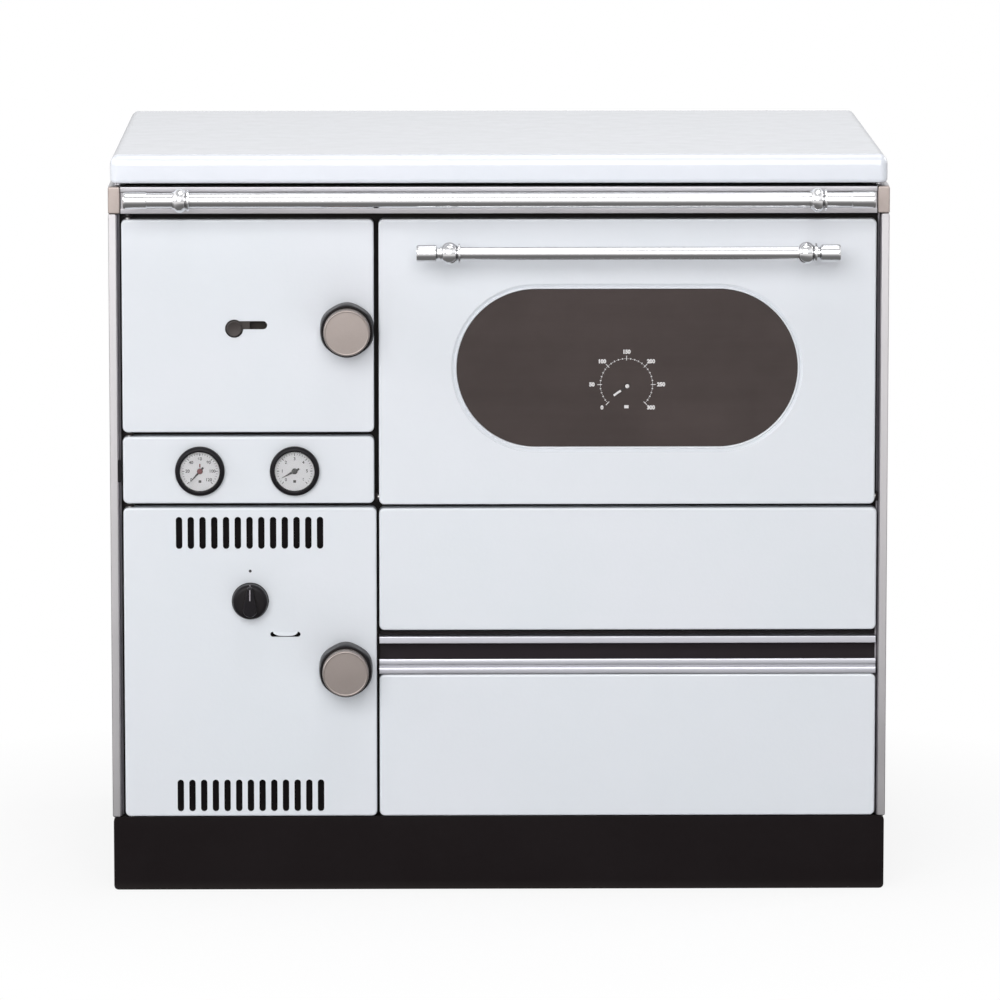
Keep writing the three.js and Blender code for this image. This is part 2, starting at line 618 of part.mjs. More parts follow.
// Guard rail in its two ball posts, which screw to the hob frame.
const railY = FRONT - RAIL_STAND_OFF;
const railZ = HOB_FRAME_BOTTOM + HOB_FRAME_HEIGHT / 2 + RAIL_RISE;
const railHalf = HALF - RAIL_INSET;
piece('rail', bar('x', RAIL_DIAMETER, -railHalf, railHalf, [railY, railZ]), chrome());

// A ball with a bore for a bar along X, on a stem that runs back to a face.
function ballPost({ x, y, z, width, height, bore, stem, face }) {
  const ball = new THREE.SphereGeometry(height / 2, 16, 8);
  ball.scale(width / height, 1, 1);
  ball.translate(x, y, z);
  return cut(
    joined(solid(ball), bar('y', stem, y, face, [x, z], ROUND_SMALL)),
    bar('x', bore, x - width, x + width, [y, z]),
  );
}
for (const [side, sign] of [['left', -1], ['right', 1]]) {
  piece(`rail_post_${side}`, ballPost({
    x: sign * (HALF - RAIL_POST_INSET),
    y: railY,
    z: railZ,
    width: RAIL_BALL_WIDTH,
    height: RAIL_BALL_HEIGHT,
    bore: RAIL_DIAMETER + 2 * RUN_GAP,
    stem: RAIL_STEM,
    face: FRONT + HOB_FRAME_GROOVE - SEAT_GAP,
  }), chrome());
}

// Folding lid: a deep enamelled tray turned over the hob, hinged on a rod along its back edge.
const lid = assembly(0, lidAxisY, lidAxisZ);
const lidFront = FRONT - lidAxisY;
const lidBottom = LID_BOTTOM - lidAxisZ;
const lidTop = lidBottom + LID_HEIGHT;
const lidShell = new THREE.ExtrudeGeometry(
  roundedRectangle(-HALF, lidFront, HALF, LID_HINGE_FROM_BACK, LID_CORNER),
  {
    depth: LID_HEIGHT - 2 * LID_EDGE,
    bevelThickness: LID_EDGE,
    bevelSize: LID_EDGE,
    bevelOffset: -LID_EDGE,
    bevelSegments: 3,
    curveSegments: 4,
  },
);
lidShell.translate(0, 0, lidBottom + LID_EDGE);
const lidNotches = lidLugX.map((x) => block(
  [x - LID_LUG_WIDTH / 2 - 2, -lidSwing, lidBottom - 1],
  [x + LID_LUG_WIDTH / 2 + 2, LID_HINGE_FROM_BACK + 1, lidSwing + 1],
));
piece('lid', cut(
  solid(lidShell),
  block([-HALF + LID_RIM, lidFront + LID_RIM, lidBottom - 1],
    [HALF - LID_RIM, LID_HINGE_FROM_BACK - LID_WALL, lidTop - LID_SHEET]),
  bar('x', HINGE_HOLE, -HALF - 1, HALF + 1, [0, 0], ROUND_SMALL),
  ...lidNotches,
), enamel(), lid);
const lidRodHalf = HALF - 1;
piece('lid_hinge_rod', bar('x', HINGE_ROD, -lidRodHalf, lidRodHalf, [lidAxisY, lidAxisZ],
  ROUND_SMALL), stainless());

// ---- Pressed pans and the doors' inner plates ---------------------------------------------

// A pan with its face on Y = 0 and its rim turned back, from its own lower left corner.
function pan(width, height) {
  const far = PAN_DEPTH + 1;
  return cut(
    upright(roundedRectangle(0, 0, width, height, PAN_CORNER), 0, PAN_DEPTH, PAN_EDGE, 2),
    block([PAN_SHEET, PAN_SHEET, PAN_SHEET], [width - PAN_SHEET, far, height - PAN_SHEET]),
  );
}

// A steel plate inside a pan, on four bosses, with a plug that closes the frame's opening.
function liner(width, height, plug) {
  const edge = PAN_SHEET + 2 * SEAT_GAP;
  const front = PAN_DEPTH - LINER_PLATE;
  const plugBack = FRAME_BACK - FRONT + LINER_REACH;
  const bossInset = PAN_DEPTH + LINER_BOSS;
  const bosses = [bossInset, width - bossInset].flatMap((x) =>
    [bossInset, height - bossInset].map((z) =>
      bar('y', LINER_BOSS, PAN_SHEET + SEAT_GAP, front + 1, [x, z], ROUND_SMALL)));
  return joined(
    block([edge, front, edge], [width - edge, PAN_DEPTH, height - edge]),
    block([plug.left, front, plug.bottom], [plug.right, plugBack, plug.top]),
    ...bosses,
  );
}

// A frame opening drawn in by the plug's clearance, in a door's own coordinates.
const plugIn = (opening, left, bottom) => ({
  left: opening.left + LINER_CLEARANCE - left,
  right: opening.right - LINER_CLEARANCE - left,
  bottom: opening.bottom + LINER_CLEARANCE - bottom,
  top: opening.top - LINER_CLEARANCE - bottom,
});

// The hexagonal base of a latch knob with its spindle and the hook that turns behind the frame,
// and the turned metal disc on its front. The hook points up while the latch is open.
const hookFront = FRAME_BACK - FRONT + HOOK_CLEARANCE;
const hookBack = hookFront + HOOK_SHEET;
function latchKnob(prefix, x, z, group) {
  const base = new THREE.Shape();
  for (let corner = 0; corner < 6; corner += 1) {
    const angle = Math.PI / 2 + corner * Math.PI / 3;
    const point = [KNOB_BASE / 2 * Math.cos(angle), KNOB_BASE / 2 * Math.sin(angle)];
    if (corner === 0) base.moveTo(...point);
    else base.lineTo(...point);
  }
  const knob = assembly(x, 0, z, group);
  piece(`${prefix}_knob`, joined(
    upright(base, -KNOB_BASE_DEPTH - SEAT_GAP, -SEAT_GAP, KNOB_BASE_EDGE),
    bar('y', SPINDLE, -SEAT_GAP - 1, hookBack, [0, 0], ROUND_SMALL),
    block([-HOOK_WIDTH / 2, hookFront, -HOOK_WIDTH / 2], [HOOK_WIDTH / 2, hookBack, HOOK_LENGTH]),
  ), bakelite(), knob);
  const discBack = KNOB_BASE_DEPTH + 2 * SEAT_GAP;
  const discFront = discBack + KNOB_DISC_DEPTH;
  piece(`${prefix}_knob_face`, turned([
    [0, discBack],
    [KNOB_DISC / 2, discBack],
    [KNOB_DISC / 2, discFront - KNOB_DISC_EDGE],
    [KNOB_DISC / 2 - KNOB_DISC_EDGE, discFront],
    [0, discFront],
  ], 0, 0), stainless(), knob);
}

const SPINDLE_HOLE = SPINDLE + 2 * RUN_GAP;
const holeThrough = (diameter, x, z) => bar('y', diameter, -1, hookBack, [x, z]);
// A rod hole through the top and bottom rims of a pan on the left hinge.
const rodHole = (height) =>
  bar('z', HINGE_HOLE, -1, height + 1, [HINGE_FROM_EDGE, HINGE_FROM_FACE], ROUND_SMALL);

// A slot with round ends, upright or level, as an outline.
function slotOutline(x, z, width, height) {
  return roundedRectangle(x - width / 2, z - height / 2, x + width / 2, z + height / 2,
    Math.min(width, height) / 2 - 0.01);
}

// ---- Firebox door -------------------------------------------------------------------------

const fireboxDoor = assembly(LEFT_EDGE, FRONT, FIREBOX_BOTTOM);
const fireboxKnobX = FIREBOX_DOOR_WIDTH - KNOB_FROM_EDGE;
const fireboxPlug = plugIn(fireOpening, LEFT_EDGE, FIREBOX_BOTTOM);
fireboxPlug.right = fireboxKnobX - HOOK_WIDTH - LINER_CLEARANCE;
const sliderX = KEYHOLE_X;
const slotZ = KEYHOLE_HEIGHT + KEYHOLE_RISE;
const keyholeShape = joined(
  bar('y', KEYHOLE_DIAMETER, -1, PAN_SHEET + 1, [sliderX, KEYHOLE_HEIGHT]),
  upright(slotOutline(sliderX + KEYHOLE_LENGTH / 2, slotZ,
    KEYHOLE_LENGTH + KEYHOLE_SLOT, KEYHOLE_SLOT), -1, PAN_SHEET + 1),
);
piece('firebox_door', cut(
  pan(FIREBOX_DOOR_WIDTH, FIREBOX_DOOR_HEIGHT),
  rodHole(FIREBOX_DOOR_HEIGHT),
  holeThrough(SPINDLE_HOLE, fireboxKnobX, FIREBOX_KNOB_HEIGHT),
  keyholeShape,
), enamel(), fireboxDoor);
piece('firebox_liner', cut(
  liner(FIREBOX_DOOR_WIDTH, FIREBOX_DOOR_HEIGHT, fireboxPlug),
  holeThrough(SPINDLE_HOLE, fireboxKnobX, FIREBOX_KNOB_HEIGHT),
), castIron(), fireboxDoor);
latchKnob('firebox', fireboxKnobX, FIREBOX_KNOB_HEIGHT, fireboxDoor);
const washerFront = PAN_SHEET + SEAT_GAP;
// Air slider: a headed pin in the keyhole with a wide washer behind the sheet.
piece('air_slider', joined(
  bar('y', SLIDER_HEAD, -SEAT_GAP - SLIDER_HEAD_SHEET, -SEAT_GAP, [sliderX, KEYHOLE_HEIGHT]),
  bar('y', SLIDER_PIN, -SEAT_GAP - 1, washerFront + 1, [sliderX, slotZ], ROUND_SMALL),
  block([sliderX - SLIDER_HEAD, washerFront, slotZ - SLIDER_HEAD / 2],
    [sliderX + SLIDER_HEAD, washerFront + SLIDER_WASHER, slotZ + SLIDER_HEAD / 2]),
), blackSteel(), fireboxDoor);

// ---- Gauge panel with the boiler thermometer and the pressure gauge -----------------------

const gaugePanel = assembly(LEFT_EDGE, FRONT, GAUGE_BOTTOM);
piece('gauge_panel', cut(
  pan(GAUGE_PANEL_WIDTH, GAUGE_PANEL_HEIGHT),
  rodHole(GAUGE_PANEL_HEIGHT),
  ...[THERMOMETER_X, MANOMETER_X].map((x) =>
    bar('y', GAUGE_HOLE, -1, PAN_SHEET + 1, [x, GAUGE_HEIGHT])),
), enamel(), gaugePanel);
// A flat pointer with a hub and a short tail, pointing straight down.
function pointer(length, tail, width, back) {
  const blade = new THREE.Shape();
  blade.moveTo(0, -length);
  blade.lineTo(width / 2, 0);
  blade.lineTo(width / 3, tail);
  blade.lineTo(-width / 3, tail);
  blade.lineTo(-width / 2, 0);
  blade.closePath();
  return joined(
    upright(blade, back - NEEDLE_SHEET, back),
    bar('y', NEEDLE_HUB, back - 2 * NEEDLE_SHEET, back, [0, 0], ROUND_SMALL),
  );
}
const dialFace = -GAUGE_PROUD + DIAL_DEPTH;
const lensFront = GAUGE_PROUD - LENS_RECESS;
for (const [name, x, turn] of [
  ['thermometer', THERMOMETER_X, THERMOMETER_AT],
  ['manometer', MANOMETER_X, MANOMETER_AT],
]) {
  const gauge = assembly(x, 0, GAUGE_HEIGHT, gaugePanel);
  const dial = GAUGE_DIAL / 2;
  piece(`${name}_case`, turned([
    [0, -GAUGE_BODY_DEPTH],
    [GAUGE_BODY / 2, -GAUGE_BODY_DEPTH],
    [GAUGE_BODY / 2, SEAT_GAP],
    [GAUGE_BEZEL / 2, SEAT_GAP],
    [GAUGE_BEZEL / 2, GAUGE_PROUD - GAUGE_EDGE],
    [GAUGE_BEZEL / 2 - GAUGE_EDGE, GAUGE_PROUD],
    [dial, GAUGE_PROUD],
    [dial, -dialFace],
    [0, -dialFace],
  ], 0, 0), bakelite(), gauge);
  const lensRadius = dial - SEAT_GAP;
  piece(`${name}_lens`, turned([
    [0, lensFront - LENS_SHEET],
    [lensRadius, lensFront - LENS_SHEET],
    [lensRadius, lensFront],
    [0, lensFront],
  ], 0, 0), material(0xffffff, 0.05, 0), gauge);
  const needle = piece(`${name}_needle`, pointer(dial - NEEDLE_CLEARANCE, NEEDLE_TAIL,
    NEEDLE_WIDTH, dialFace - SEAT_GAP), bakelite(), gauge);
  needle.rotation.y = THREE.MathUtils.degToRad(-turn);
}

// ---- Ash door with its air slots, thermostat and air flap ---------------------------------

const ashDoor = assembly(LEFT_EDGE, FRONT, DOORS_BOTTOM);
const ashKnobX = ASH_DOOR_WIDTH - KNOB_FROM_EDGE - LEFT_ROW_GAP;
const ashPlug = plugIn(ashOpening, LEFT_EDGE, DOORS_BOTTOM);
ashPlug.right = ashKnobX - HOOK_WIDTH - LINER_CLEARANCE;
const airSlots = [UPPER_SLOTS_HEIGHT, LOWER_SLOTS_HEIGHT].flatMap((z) =>
  Array.from({ length: AIR_SLOTS }, (_, index) => {
    const x = AIR_SLOTS_X + (index - (AIR_SLOTS - 1) / 2) * AIR_SLOT_PITCH;
    return upright(slotOutline(x, z, AIR_SLOT_WIDTH, AIR_SLOT_LENGTH), -1, PAN_SHEET + 1);
  }));
const louvre = upright(slotOutline(LOUVRE_X, LOUVRE_HEIGHT, LOUVRE_WIDTH, LOUVRE_GAP),
  -1, PAN_SHEET + 1);
piece('ash_door', cut(
  pan(ASH_DOOR_WIDTH, ASH_DOOR_HEIGHT),
  rodHole(ASH_DOOR_HEIGHT),
  holeThrough(SPINDLE_HOLE, ashKnobX, ASH_KNOB_HEIGHT),
  holeThrough(SPINDLE_HOLE, THERMOSTAT_X, THERMOSTAT_HEIGHT),
  louvre,
  ...airSlots,
), enamel(), ashDoor);

// The plug has a port low down for the fire's air, which the flap covers from inside.
const flapHingeZ = ashPlug.bottom + FLAP_HEIGHT + 2 * LINER_CLEARANCE;
const flapBack = FRAME_BACK - FRONT + LINER_REACH;
piece('ash_liner', cut(
  liner(ASH_DOOR_WIDTH, ASH_DOOR_HEIGHT, ashPlug),
  holeThrough(SPINDLE_HOLE, ashKnobX, ASH_KNOB_HEIGHT),
  holeThrough(SPINDLE_HOLE, THERMOSTAT_X, THERMOSTAT_HEIGHT),
  block([THERMOSTAT_X - FLAP_WIDTH / 2 + FLAP_OVERLAP, 0, flapHingeZ - FLAP_HEIGHT + FLAP_OVERLAP],
    [THERMOSTAT_X + FLAP_WIDTH / 2 - FLAP_OVERLAP, flapBack + 1, flapHingeZ - FLAP_OVERLAP]),
), castIron(), ashDoor);
latchKnob('ash', ashKnobX, ASH_KNOB_HEIGHT, ashDoor);

// Thermostat knob: a round skirt with a raised teardrop grip, on a spindle.
const thermostat = assembly(THERMOSTAT_X, 0, THERMOSTAT_HEIGHT, ashDoor);
const grip = new THREE.Shape();
const gripRadius = THERMOSTAT_DIAMETER / 5;
const gripTip = THERMOSTAT_DIAMETER / 2 - THERMOSTAT_EDGE;
grip.moveTo(-gripRadius, -gripRadius);
grip.absarc(0, -gripRadius, gripRadius, Math.PI, 2 * Math.PI);
grip.lineTo(2, gripTip);
grip.lineTo(-2, gripTip);
grip.closePath();
piece('thermostat_knob', joined(
  turned([
    [0, SEAT_GAP],
    [THERMOSTAT_DIAMETER / 2, SEAT_GAP],
    [THERMOSTAT_DIAMETER / 2, THERMOSTAT_DEPTH - THERMOSTAT_EDGE],
    [THERMOSTAT_DIAMETER / 2 - THERMOSTAT_EDGE, THERMOSTAT_DEPTH],
    [0, THERMOSTAT_DEPTH],
  ], 0, 0),
  upright(grip, -THERMOSTAT_DEPTH - THERMOSTAT_GRIP, -THERMOSTAT_DEPTH + 1),
  bar('y', SPINDLE, -SEAT_GAP - 1, flapBack, [0, 0], ROUND_SMALL),
), bakelite(), thermostat);

// Air flap: hangs against the back of the plug and opens inward as the thermostat turns.
const flap = assembly(THERMOSTAT_X, flapBack + SEAT_GAP + FLAP_SHEET, flapHingeZ, ashDoor);
piece('air_flap', joined(
  block([-FLAP_WIDTH / 2, -FLAP_SHEET, -FLAP_HEIGHT], [FLAP_WIDTH / 2, 0, 0]),
  bar('x', 2 * FLAP_SHEET, -FLAP_WIDTH / 2, FLAP_WIDTH / 2, [0, 0], ROUND_SMALL),
), sheetSteel(), flap);

// ---- Oven door with its window, handle and dial -------------------------------------------

const ovenDoor = assembly(RIGHT_COLUMN, FRONT, OVEN_BOTTOM);
const windowOutline = (grow) => slotOutline(OVEN_MIDDLE, WINDOW_Z, WINDOW_WIDTH + 2 * grow,
  WINDOW_HEIGHT + 2 * grow);
const windowSteps = (grow, front, back) => {
  const outline = windowOutline(grow);
  const geometry = new THREE.ExtrudeGeometry(outline, {
    depth: back - front,
    bevelEnabled: false,
    curveSegments: 8,
  });
  geometry.rotateX(Math.PI / 2);
  geometry.translate(0, back, 0);
  return solid(geometry);
};
const ovenRodHoles = bar('x', HINGE_HOLE, -1, OVEN_DOOR_WIDTH + 1,
  [OVEN_AXIS_Y - FRONT, OVEN_AXIS_Z - OVEN_BOTTOM], ROUND_SMALL);
piece('oven_door', cut(
  joined(pan(OVEN_DOOR_WIDTH, OVEN_DOOR_HEIGHT), windowSteps(WINDOW_RIM, -1, PAN_SHEET)),
  windowSteps(0, -2, PAN_SHEET + 1),
  ovenRodHoles,
), enamel(), ovenDoor);
const glassFront = PAN_SHEET + SEAT_GAP;
const glassBack = glassFront + GLASS_SHEET;
piece('oven_glass', cut(
  windowSteps(GLASS_OVERLAP, glassFront, glassBack),
  bar('y', DIAL_HOLE, 0, glassBack + 1, [OVEN_MIDDLE, DIAL_Z], ROUND_SMALL),
), material(0x2a2422, 0.08, 0), ovenDoor);
const ovenPlug = plugIn(ovenOpening, RIGHT_COLUMN, OVEN_BOTTOM);
piece('oven_liner', cut(
  joined(liner(OVEN_DOOR_WIDTH, OVEN_DOOR_HEIGHT, ovenPlug),
    windowSteps(GLASS_OVERLAP, glassBack + SEAT_GAP, PAN_DEPTH)),
  windowSteps(0, 0, FRAME_BACK - FRONT + LINER_REACH + 1),
), castIron(), ovenDoor);

// Handle: a straight bar with thicker ends, held in two ball posts.
const handle = assembly(OVEN_MIDDLE, -HANDLE_STAND_OFF, OVEN_DOOR_HEIGHT - HANDLE_DROP, ovenDoor);
const handleHalf = HANDLE_LENGTH / 2;
piece('oven_handle', joined(
  bar('x', HANDLE_DIAMETER, -handleHalf, handleHalf, [0, 0]),
  bar('x', HANDLE_END, -handleHalf, HANDLE_END_LENGTH - handleHalf, [0, 0]),
  bar('x', HANDLE_END, handleHalf - HANDLE_END_LENGTH, handleHalf, [0, 0]),
), chrome(), handle);
for (const [side, sign] of [['left', -1], ['right', 1]]) {
  piece(`oven_handle_post_${side}`, ballPost({
    x: sign * HANDLE_POST_X,
    y: 0,
    z: 0,
    width: HANDLE_BALL_WIDTH,
    height: HANDLE_BALL_HEIGHT,
    bore: HANDLE_DIAMETER + 2 * RUN_GAP,
    stem: HANDLE_STEM,
    face: HANDLE_STAND_OFF - SEAT_GAP,
  }), chrome(), handle);
}

// Oven dial: a spring housing behind the glass, and its pointer in front.
const dial = assembly(OVEN_MIDDLE, 0, DIAL_Z, ovenDoor);
const dialStem = DIAL_HOLE - 2 * RUN_GAP;
piece('oven_dial_housing', cut(
  joined(
    bar('y', DIAL_HOUSING, glassBack + SEAT_GAP, glassBack + DIAL_HOUSING_DEPTH, [0, 0]),
    bar('y', dialStem, glassFront, glassBack + 1, [0, 0], ROUND_SMALL),
  ),
), blackSteel(), dial);
const dialNeedle = piece('oven_dial_needle', pointer(DIAL_NEEDLE, DIAL_NEEDLE_TAIL,
  DIAL_NEEDLE_WIDTH, glassFront - SEAT_GAP), material(0xf4f4f0, 0.4, 0), dial);
dialNeedle.rotation.y = THREE.MathUtils.degToRad(DIAL_NEEDLE_AT);

// ---- Soot cover, grip channel and drawer --------------------------------------------------

// Enamelled cover over the soot hatch; two hooks stand on the sill of the frame's opening.
const sootCover = assembly(RIGHT_COLUMN, FRONT, SOOT_BOTTOM);
const lowWidth = LOW_RIGHT_EDGE - RIGHT_COLUMN;
const sillZ = sootOpening.bottom + SEAT_GAP - SOOT_BOTTOM;
const coverHooks = [COVER_HOOK * 2, lowWidth - COVER_HOOK * 4].map((x) => block(
  [x, PAN_SHEET - 1, sillZ],
  [x + COVER_HOOK, FRAME_BACK - FRONT - 1, sillZ + COVER_HOOK / 2],
));
piece('soot_cover', joined(pan(lowWidth, SOOT_COVER_HEIGHT), ...coverHooks), enamel(), sootCover);

// Hatch over the soot chamber under the oven, with a pull knob.
const hatchMargin = FRAME_LIP / 2;
const hatchX = (sootOpening.left + sootOpening.right) / 2;
const hatchZ = (sootOpening.bottom + sootOpening.top) / 2;
const hatchFront = FRAME_BACK + SEAT_GAP;
piece('soot_hatch', joined(
  block([sootOpening.left - hatchMargin, hatchFront, sootOpening.bottom - hatchMargin],
    [sootOpening.right + hatchMargin, hatchFront + HATCH_SHEET, sootOpening.top + hatchMargin]),
  bar('y', HATCH_STEM, FRAME_FRONT, hatchFront + 1, [hatchX, hatchZ], ROUND_SMALL),
  bar('y', HATCH_KNOB, PAN_BACK, FRAME_FRONT + 1, [hatchX, hatchZ]),
), castIron());

// Bright channel over the drawer: a lip in front and a dark back that fingers reach into.
const gripTop = SOOT_BOTTOM - GRIP_DROP;
const gripBack = FRAME_FRONT - SEAT_GAP;
const gripFront = FRONT + PLINTH_RECESS;
piece('grip_channel', joined(
  block([RIGHT_COLUMN, gripFront, gripTop - GRIP_LIP],
    [LOW_RIGHT_EDGE, gripFront + PAN_SHEET, gripTop]),
  block([RIGHT_COLUMN, gripFront, gripTop - PAN_SHEET], [LOW_RIGHT_EDGE, gripBack, gripTop]),
  block([RIGHT_COLUMN, gripBack - PAN_SHEET, DRAWER_TOP + RIGHT_ROW_GAP],
    [LOW_RIGHT_EDGE, gripBack, gripTop]),
), aluminium());

// Fuel drawer: enamelled front, stepped grip strip along its top, sheet box behind.
const drawer = assembly(RIGHT_COLUMN, FRONT, DOORS_BOTTOM);
piece('drawer_front', pan(lowWidth, DRAWER_HEIGHT), enamel(), drawer);
const stripBottom = DRAWER_HEIGHT + SEAT_GAP;
piece('drawer_grip', joined(
  block([0, PLINTH_RECESS, stripBottom], [lowWidth, PAN_DEPTH - PLINTH_RECESS, stripBottom + PAN_SHEET]),
  block([0, 1, stripBottom], [lowWidth, 1 + PAN_SHEET, stripBottom + GRIP_STEP]),
  block([0, PAN_SHEET, stripBottom + GRIP_STEP - 1],
    [lowWidth, 2 * PAN_SHEET, stripBottom + 2 * GRIP_STEP]),
), aluminium(), drawer);
const boxFront = PAN_DEPTH - LINER_PLATE;
const boxLeft = drawerLeft - RIGHT_COLUMN;
const boxRight = drawerRight - RIGHT_COLUMN;
const boxFloor = drawerBoxFloor - DOORS_BOTTOM;
const boxTop = boxFloor + DRAWER_BOX_HEIGHT;
const boxFaceEdge = PAN_SHEET + 2 * SEAT_GAP;
piece('drawer_box', joined(
  cut(
    block([boxLeft, boxFront, boxFloor], [boxRight, DRAWER_BOX_DEPTH, boxTop]),
    block([boxLeft + DRAWER_SHEET, PAN_DEPTH, boxFloor + DRAWER_SHEET],
      [boxRight - DRAWER_SHEET, DRAWER_BOX_DEPTH - DRAWER_SHEET, boxTop + 1]),
  ),
  block([boxFaceEdge, boxFront, boxFaceEdge], [lowWidth - boxFaceEdge, PAN_DEPTH, boxTop]),
  ...[boxLeft + LINER_BOSS, boxRight - LINER_BOSS].map((x) =>
    bar('y', LINER_BOSS, PAN_SHEET + SEAT_GAP, boxFront + 1, [x, DRAWER_HEIGHT / 2], ROUND_SMALL)),
), sheetSteel(), drawer);

// ---- Boiler, grate and ash pan ------------------------------------------------------------

// Welded plates round the fire and the ash pit, with two pipe stubs on its thick back wall.

const boilerFront = FRAME_BACK + HOOK_CLEARANCE + HOOK_SHEET + HOOK_CLEARANCE;
const boilerBack = boilerFront + BOILER_DEPTH;
const boilerLeft = -INNER + BOILER_INSET;
const boilerRight = RIGHT_COLUMN - 2 * HOOK_CLEARANCE;
const boilerBottom = FLOOR_TOP + SEAT_GAP;
const boilerTop = HOB_FRAME_BOTTOM - HOOK_CLEARANCE;
const fire = {
  left: boilerLeft + BOILER_WALL,
  right: boilerRight - BOILER_WALL,
  front: boilerFront + BOILER_WALL,
  back: boilerBack - BOILER_BACK_WALL,
};
const smokeSill = boilerTop - SMOKE_WAY;
const grateZ = fireOpening.bottom - GRATE_DROP;
const grateLedges = [[fire.left - 1, fire.left + GRATE_LEDGE], [fire.right - GRATE_LEDGE, fire.right + 1]]
  .map(([left, right]) => block([left, fire.front, grateZ - GRATE_LEDGE],
    [right, fire.back, grateZ]));
const pipeEnd = BACK + PIPE_REACH;
const stubs = [SUPPLY_Z, RETURN_Z].map((z) =>
  bar('y', PIPE_DIAMETER, boilerBack - 1, pipeEnd, [PIPE_X, z]));
const bores = [SUPPLY_Z, RETURN_Z].map((z) =>
  bar('y', PIPE_BORE, boilerBack - BOILER_BACK_WALL / 2, pipeEnd + 1, [PIPE_X, z]));
piece('boiler', cut(
  joined(
    cut(
      block([boilerLeft, boilerFront, boilerBottom], [boilerRight, boilerBack, boilerTop]),
      block([fire.left, fire.front, boilerBottom - 1], [fire.right, fire.back, boilerTop + 1]),
    ),
    ...grateLedges,
    ...stubs,
  ),
  block([fire.left, boilerFront - 1, fireOpening.bottom], [fire.right, fire.front + 1, fireOpening.top]),
  block([fire.left, boilerFront - 1, boilerBottom - 1], [fire.right, fire.front + 1, ashOpening.top]),
  block([fire.right - 1, boilerFront + BOILER_DEPTH / 4, smokeSill],
    [boilerRight + 1, boilerBack - BOILER_DEPTH / 4, boilerTop + 1]),
  ...bores,
), castIron());

// Grate bars between two end bars, lying on the jacket's ledges.
const grate = {
  left: fire.left + GRATE_CLEARANCE,
  right: fire.right - GRATE_CLEARANCE,
  front: fire.front + GRATE_CLEARANCE,
  back: fire.back - GRATE_CLEARANCE,
};
const grateBottom = grateZ + SEAT_GAP;
const gratePitch = (grate.right - grate.left) / GRATE_BARS;
const grateSlots = Array.from({ length: GRATE_BARS - 1 }, (_, index) => {
  const x = grate.left + (index + 1) * gratePitch;
  return block([x - gratePitch / 4, grate.front + gratePitch, grateBottom - 1],
    [x + gratePitch / 4, grate.back - gratePitch, grateBottom + GRATE_THICKNESS + 1]);
});
piece('grate', cut(
  block([grate.left, grate.front, grateBottom],
    [grate.right, grate.back, grateBottom + GRATE_THICKNESS]),
  ...grateSlots,
), castIron());

// Ash pan on the floor, behind the space that the air flap swings in.
const ashPan = {
  left: fire.left + ASH_PAN_CLEARANCE,
  right: fire.right - ASH_PAN_CLEARANCE,
  front: fire.front + ASH_PAN_CLEARANCE + ASH_PAN_SET_BACK,
  back: fire.back - ASH_PAN_CLEARANCE,
};
const ashPanTop = boilerBottom + ASH_PAN_HEIGHT;
const tabBottom = boilerBottom + ASH_PAN_HEIGHT / 2;
piece('ash_pan', joined(
  cut(
    block([ashPan.left, ashPan.front, boilerBottom],
      [ashPan.right, ashPan.back, ashPanTop]),
    block(
      [ashPan.left + ASH_PAN_SHEET, ashPan.front + ASH_PAN_SHEET, boilerBottom + ASH_PAN_SHEET],
      [ashPan.right - ASH_PAN_SHEET, ashPan.back - ASH_PAN_SHEET, ashPanTop + 1],
    ),
  ),
  block([fireX - ASH_PAN_TAB / 2, ashPan.front - PAN_DEPTH, tabBottom],
    [fireX + ASH_PAN_TAB / 2, ashPan.front + 1, tabBottom + 2 * ASH_PAN_SHEET]),
), sheetSteel());

// ---- Oven box, rack and flue collar -------------------------------------------------------

const ovenFront = FRAME_BACK + SEAT_GAP;
const ovenBack = ovenFront + OVEN_DEPTH;
const ovenWall = OVEN_SHEET + RACK_LEDGE / 2;
const cavity = {
  left: ovenOpening.left - OVEN_SHEET / 2,
  right: ovenOpening.right + OVEN_SHEET / 2,
  bottom: ovenOpening.bottom - OVEN_SHEET / 2,
  top: ovenOpening.top + OVEN_SHEET / 2,
};
const rackZ = cavity.bottom + RACK_HEIGHT;
const rackLedges = [
  [cavity.left - 1, cavity.left + RACK_LEDGE],
  [cavity.right - RACK_LEDGE, cavity.right + 1],
].map(([left, right]) => block([left, ovenFront + ovenWall * 2, rackZ - OVEN_SHEET],
    [right, ovenBack - ovenWall, rackZ]));
piece('oven_box', joined(cut(
  block([cavity.left - OVEN_SHEET, ovenFront, cavity.bottom - OVEN_SHEET],
    [cavity.right + OVEN_SHEET, ovenBack, cavity.top + OVEN_SHEET]),
  block([cavity.left, ovenFront - 1, cavity.bottom], [cavity.right, ovenBack - OVEN_SHEET, cavity.top]),
), ...rackLedges), sheetSteel());

// Rack of bars, lying on the oven's ledges.
const rack = {
  left: cavity.left + RACK_BAR / 2,
  right: cavity.right - RACK_BAR / 2,
  front: ovenFront + ovenWall * 2,
  back: ovenBack - ovenWall * 2,
};
const rackBottom = rackZ + SEAT_GAP;
const rackTop = rackBottom + RACK_BAR;
const rackPitch = (rack.right - rack.left - RACK_BAR) / (RACK_BARS - 1);
const rackBars = Array.from({ length: RACK_BARS }, (_, index) => {
  const x = rack.left + index * rackPitch;
  return block([x, rack.front, rackBottom], [x + RACK_BAR, rack.back, rackTop]);
});
const rackEnds = [rack.front, rack.back - RACK_BAR].map((y) => block(
  [rack.left, y, rackBottom], [rack.right, y + RACK_BAR, rackTop]));
piece('oven_rack', joined(...rackBars, ...rackEnds), stainless());

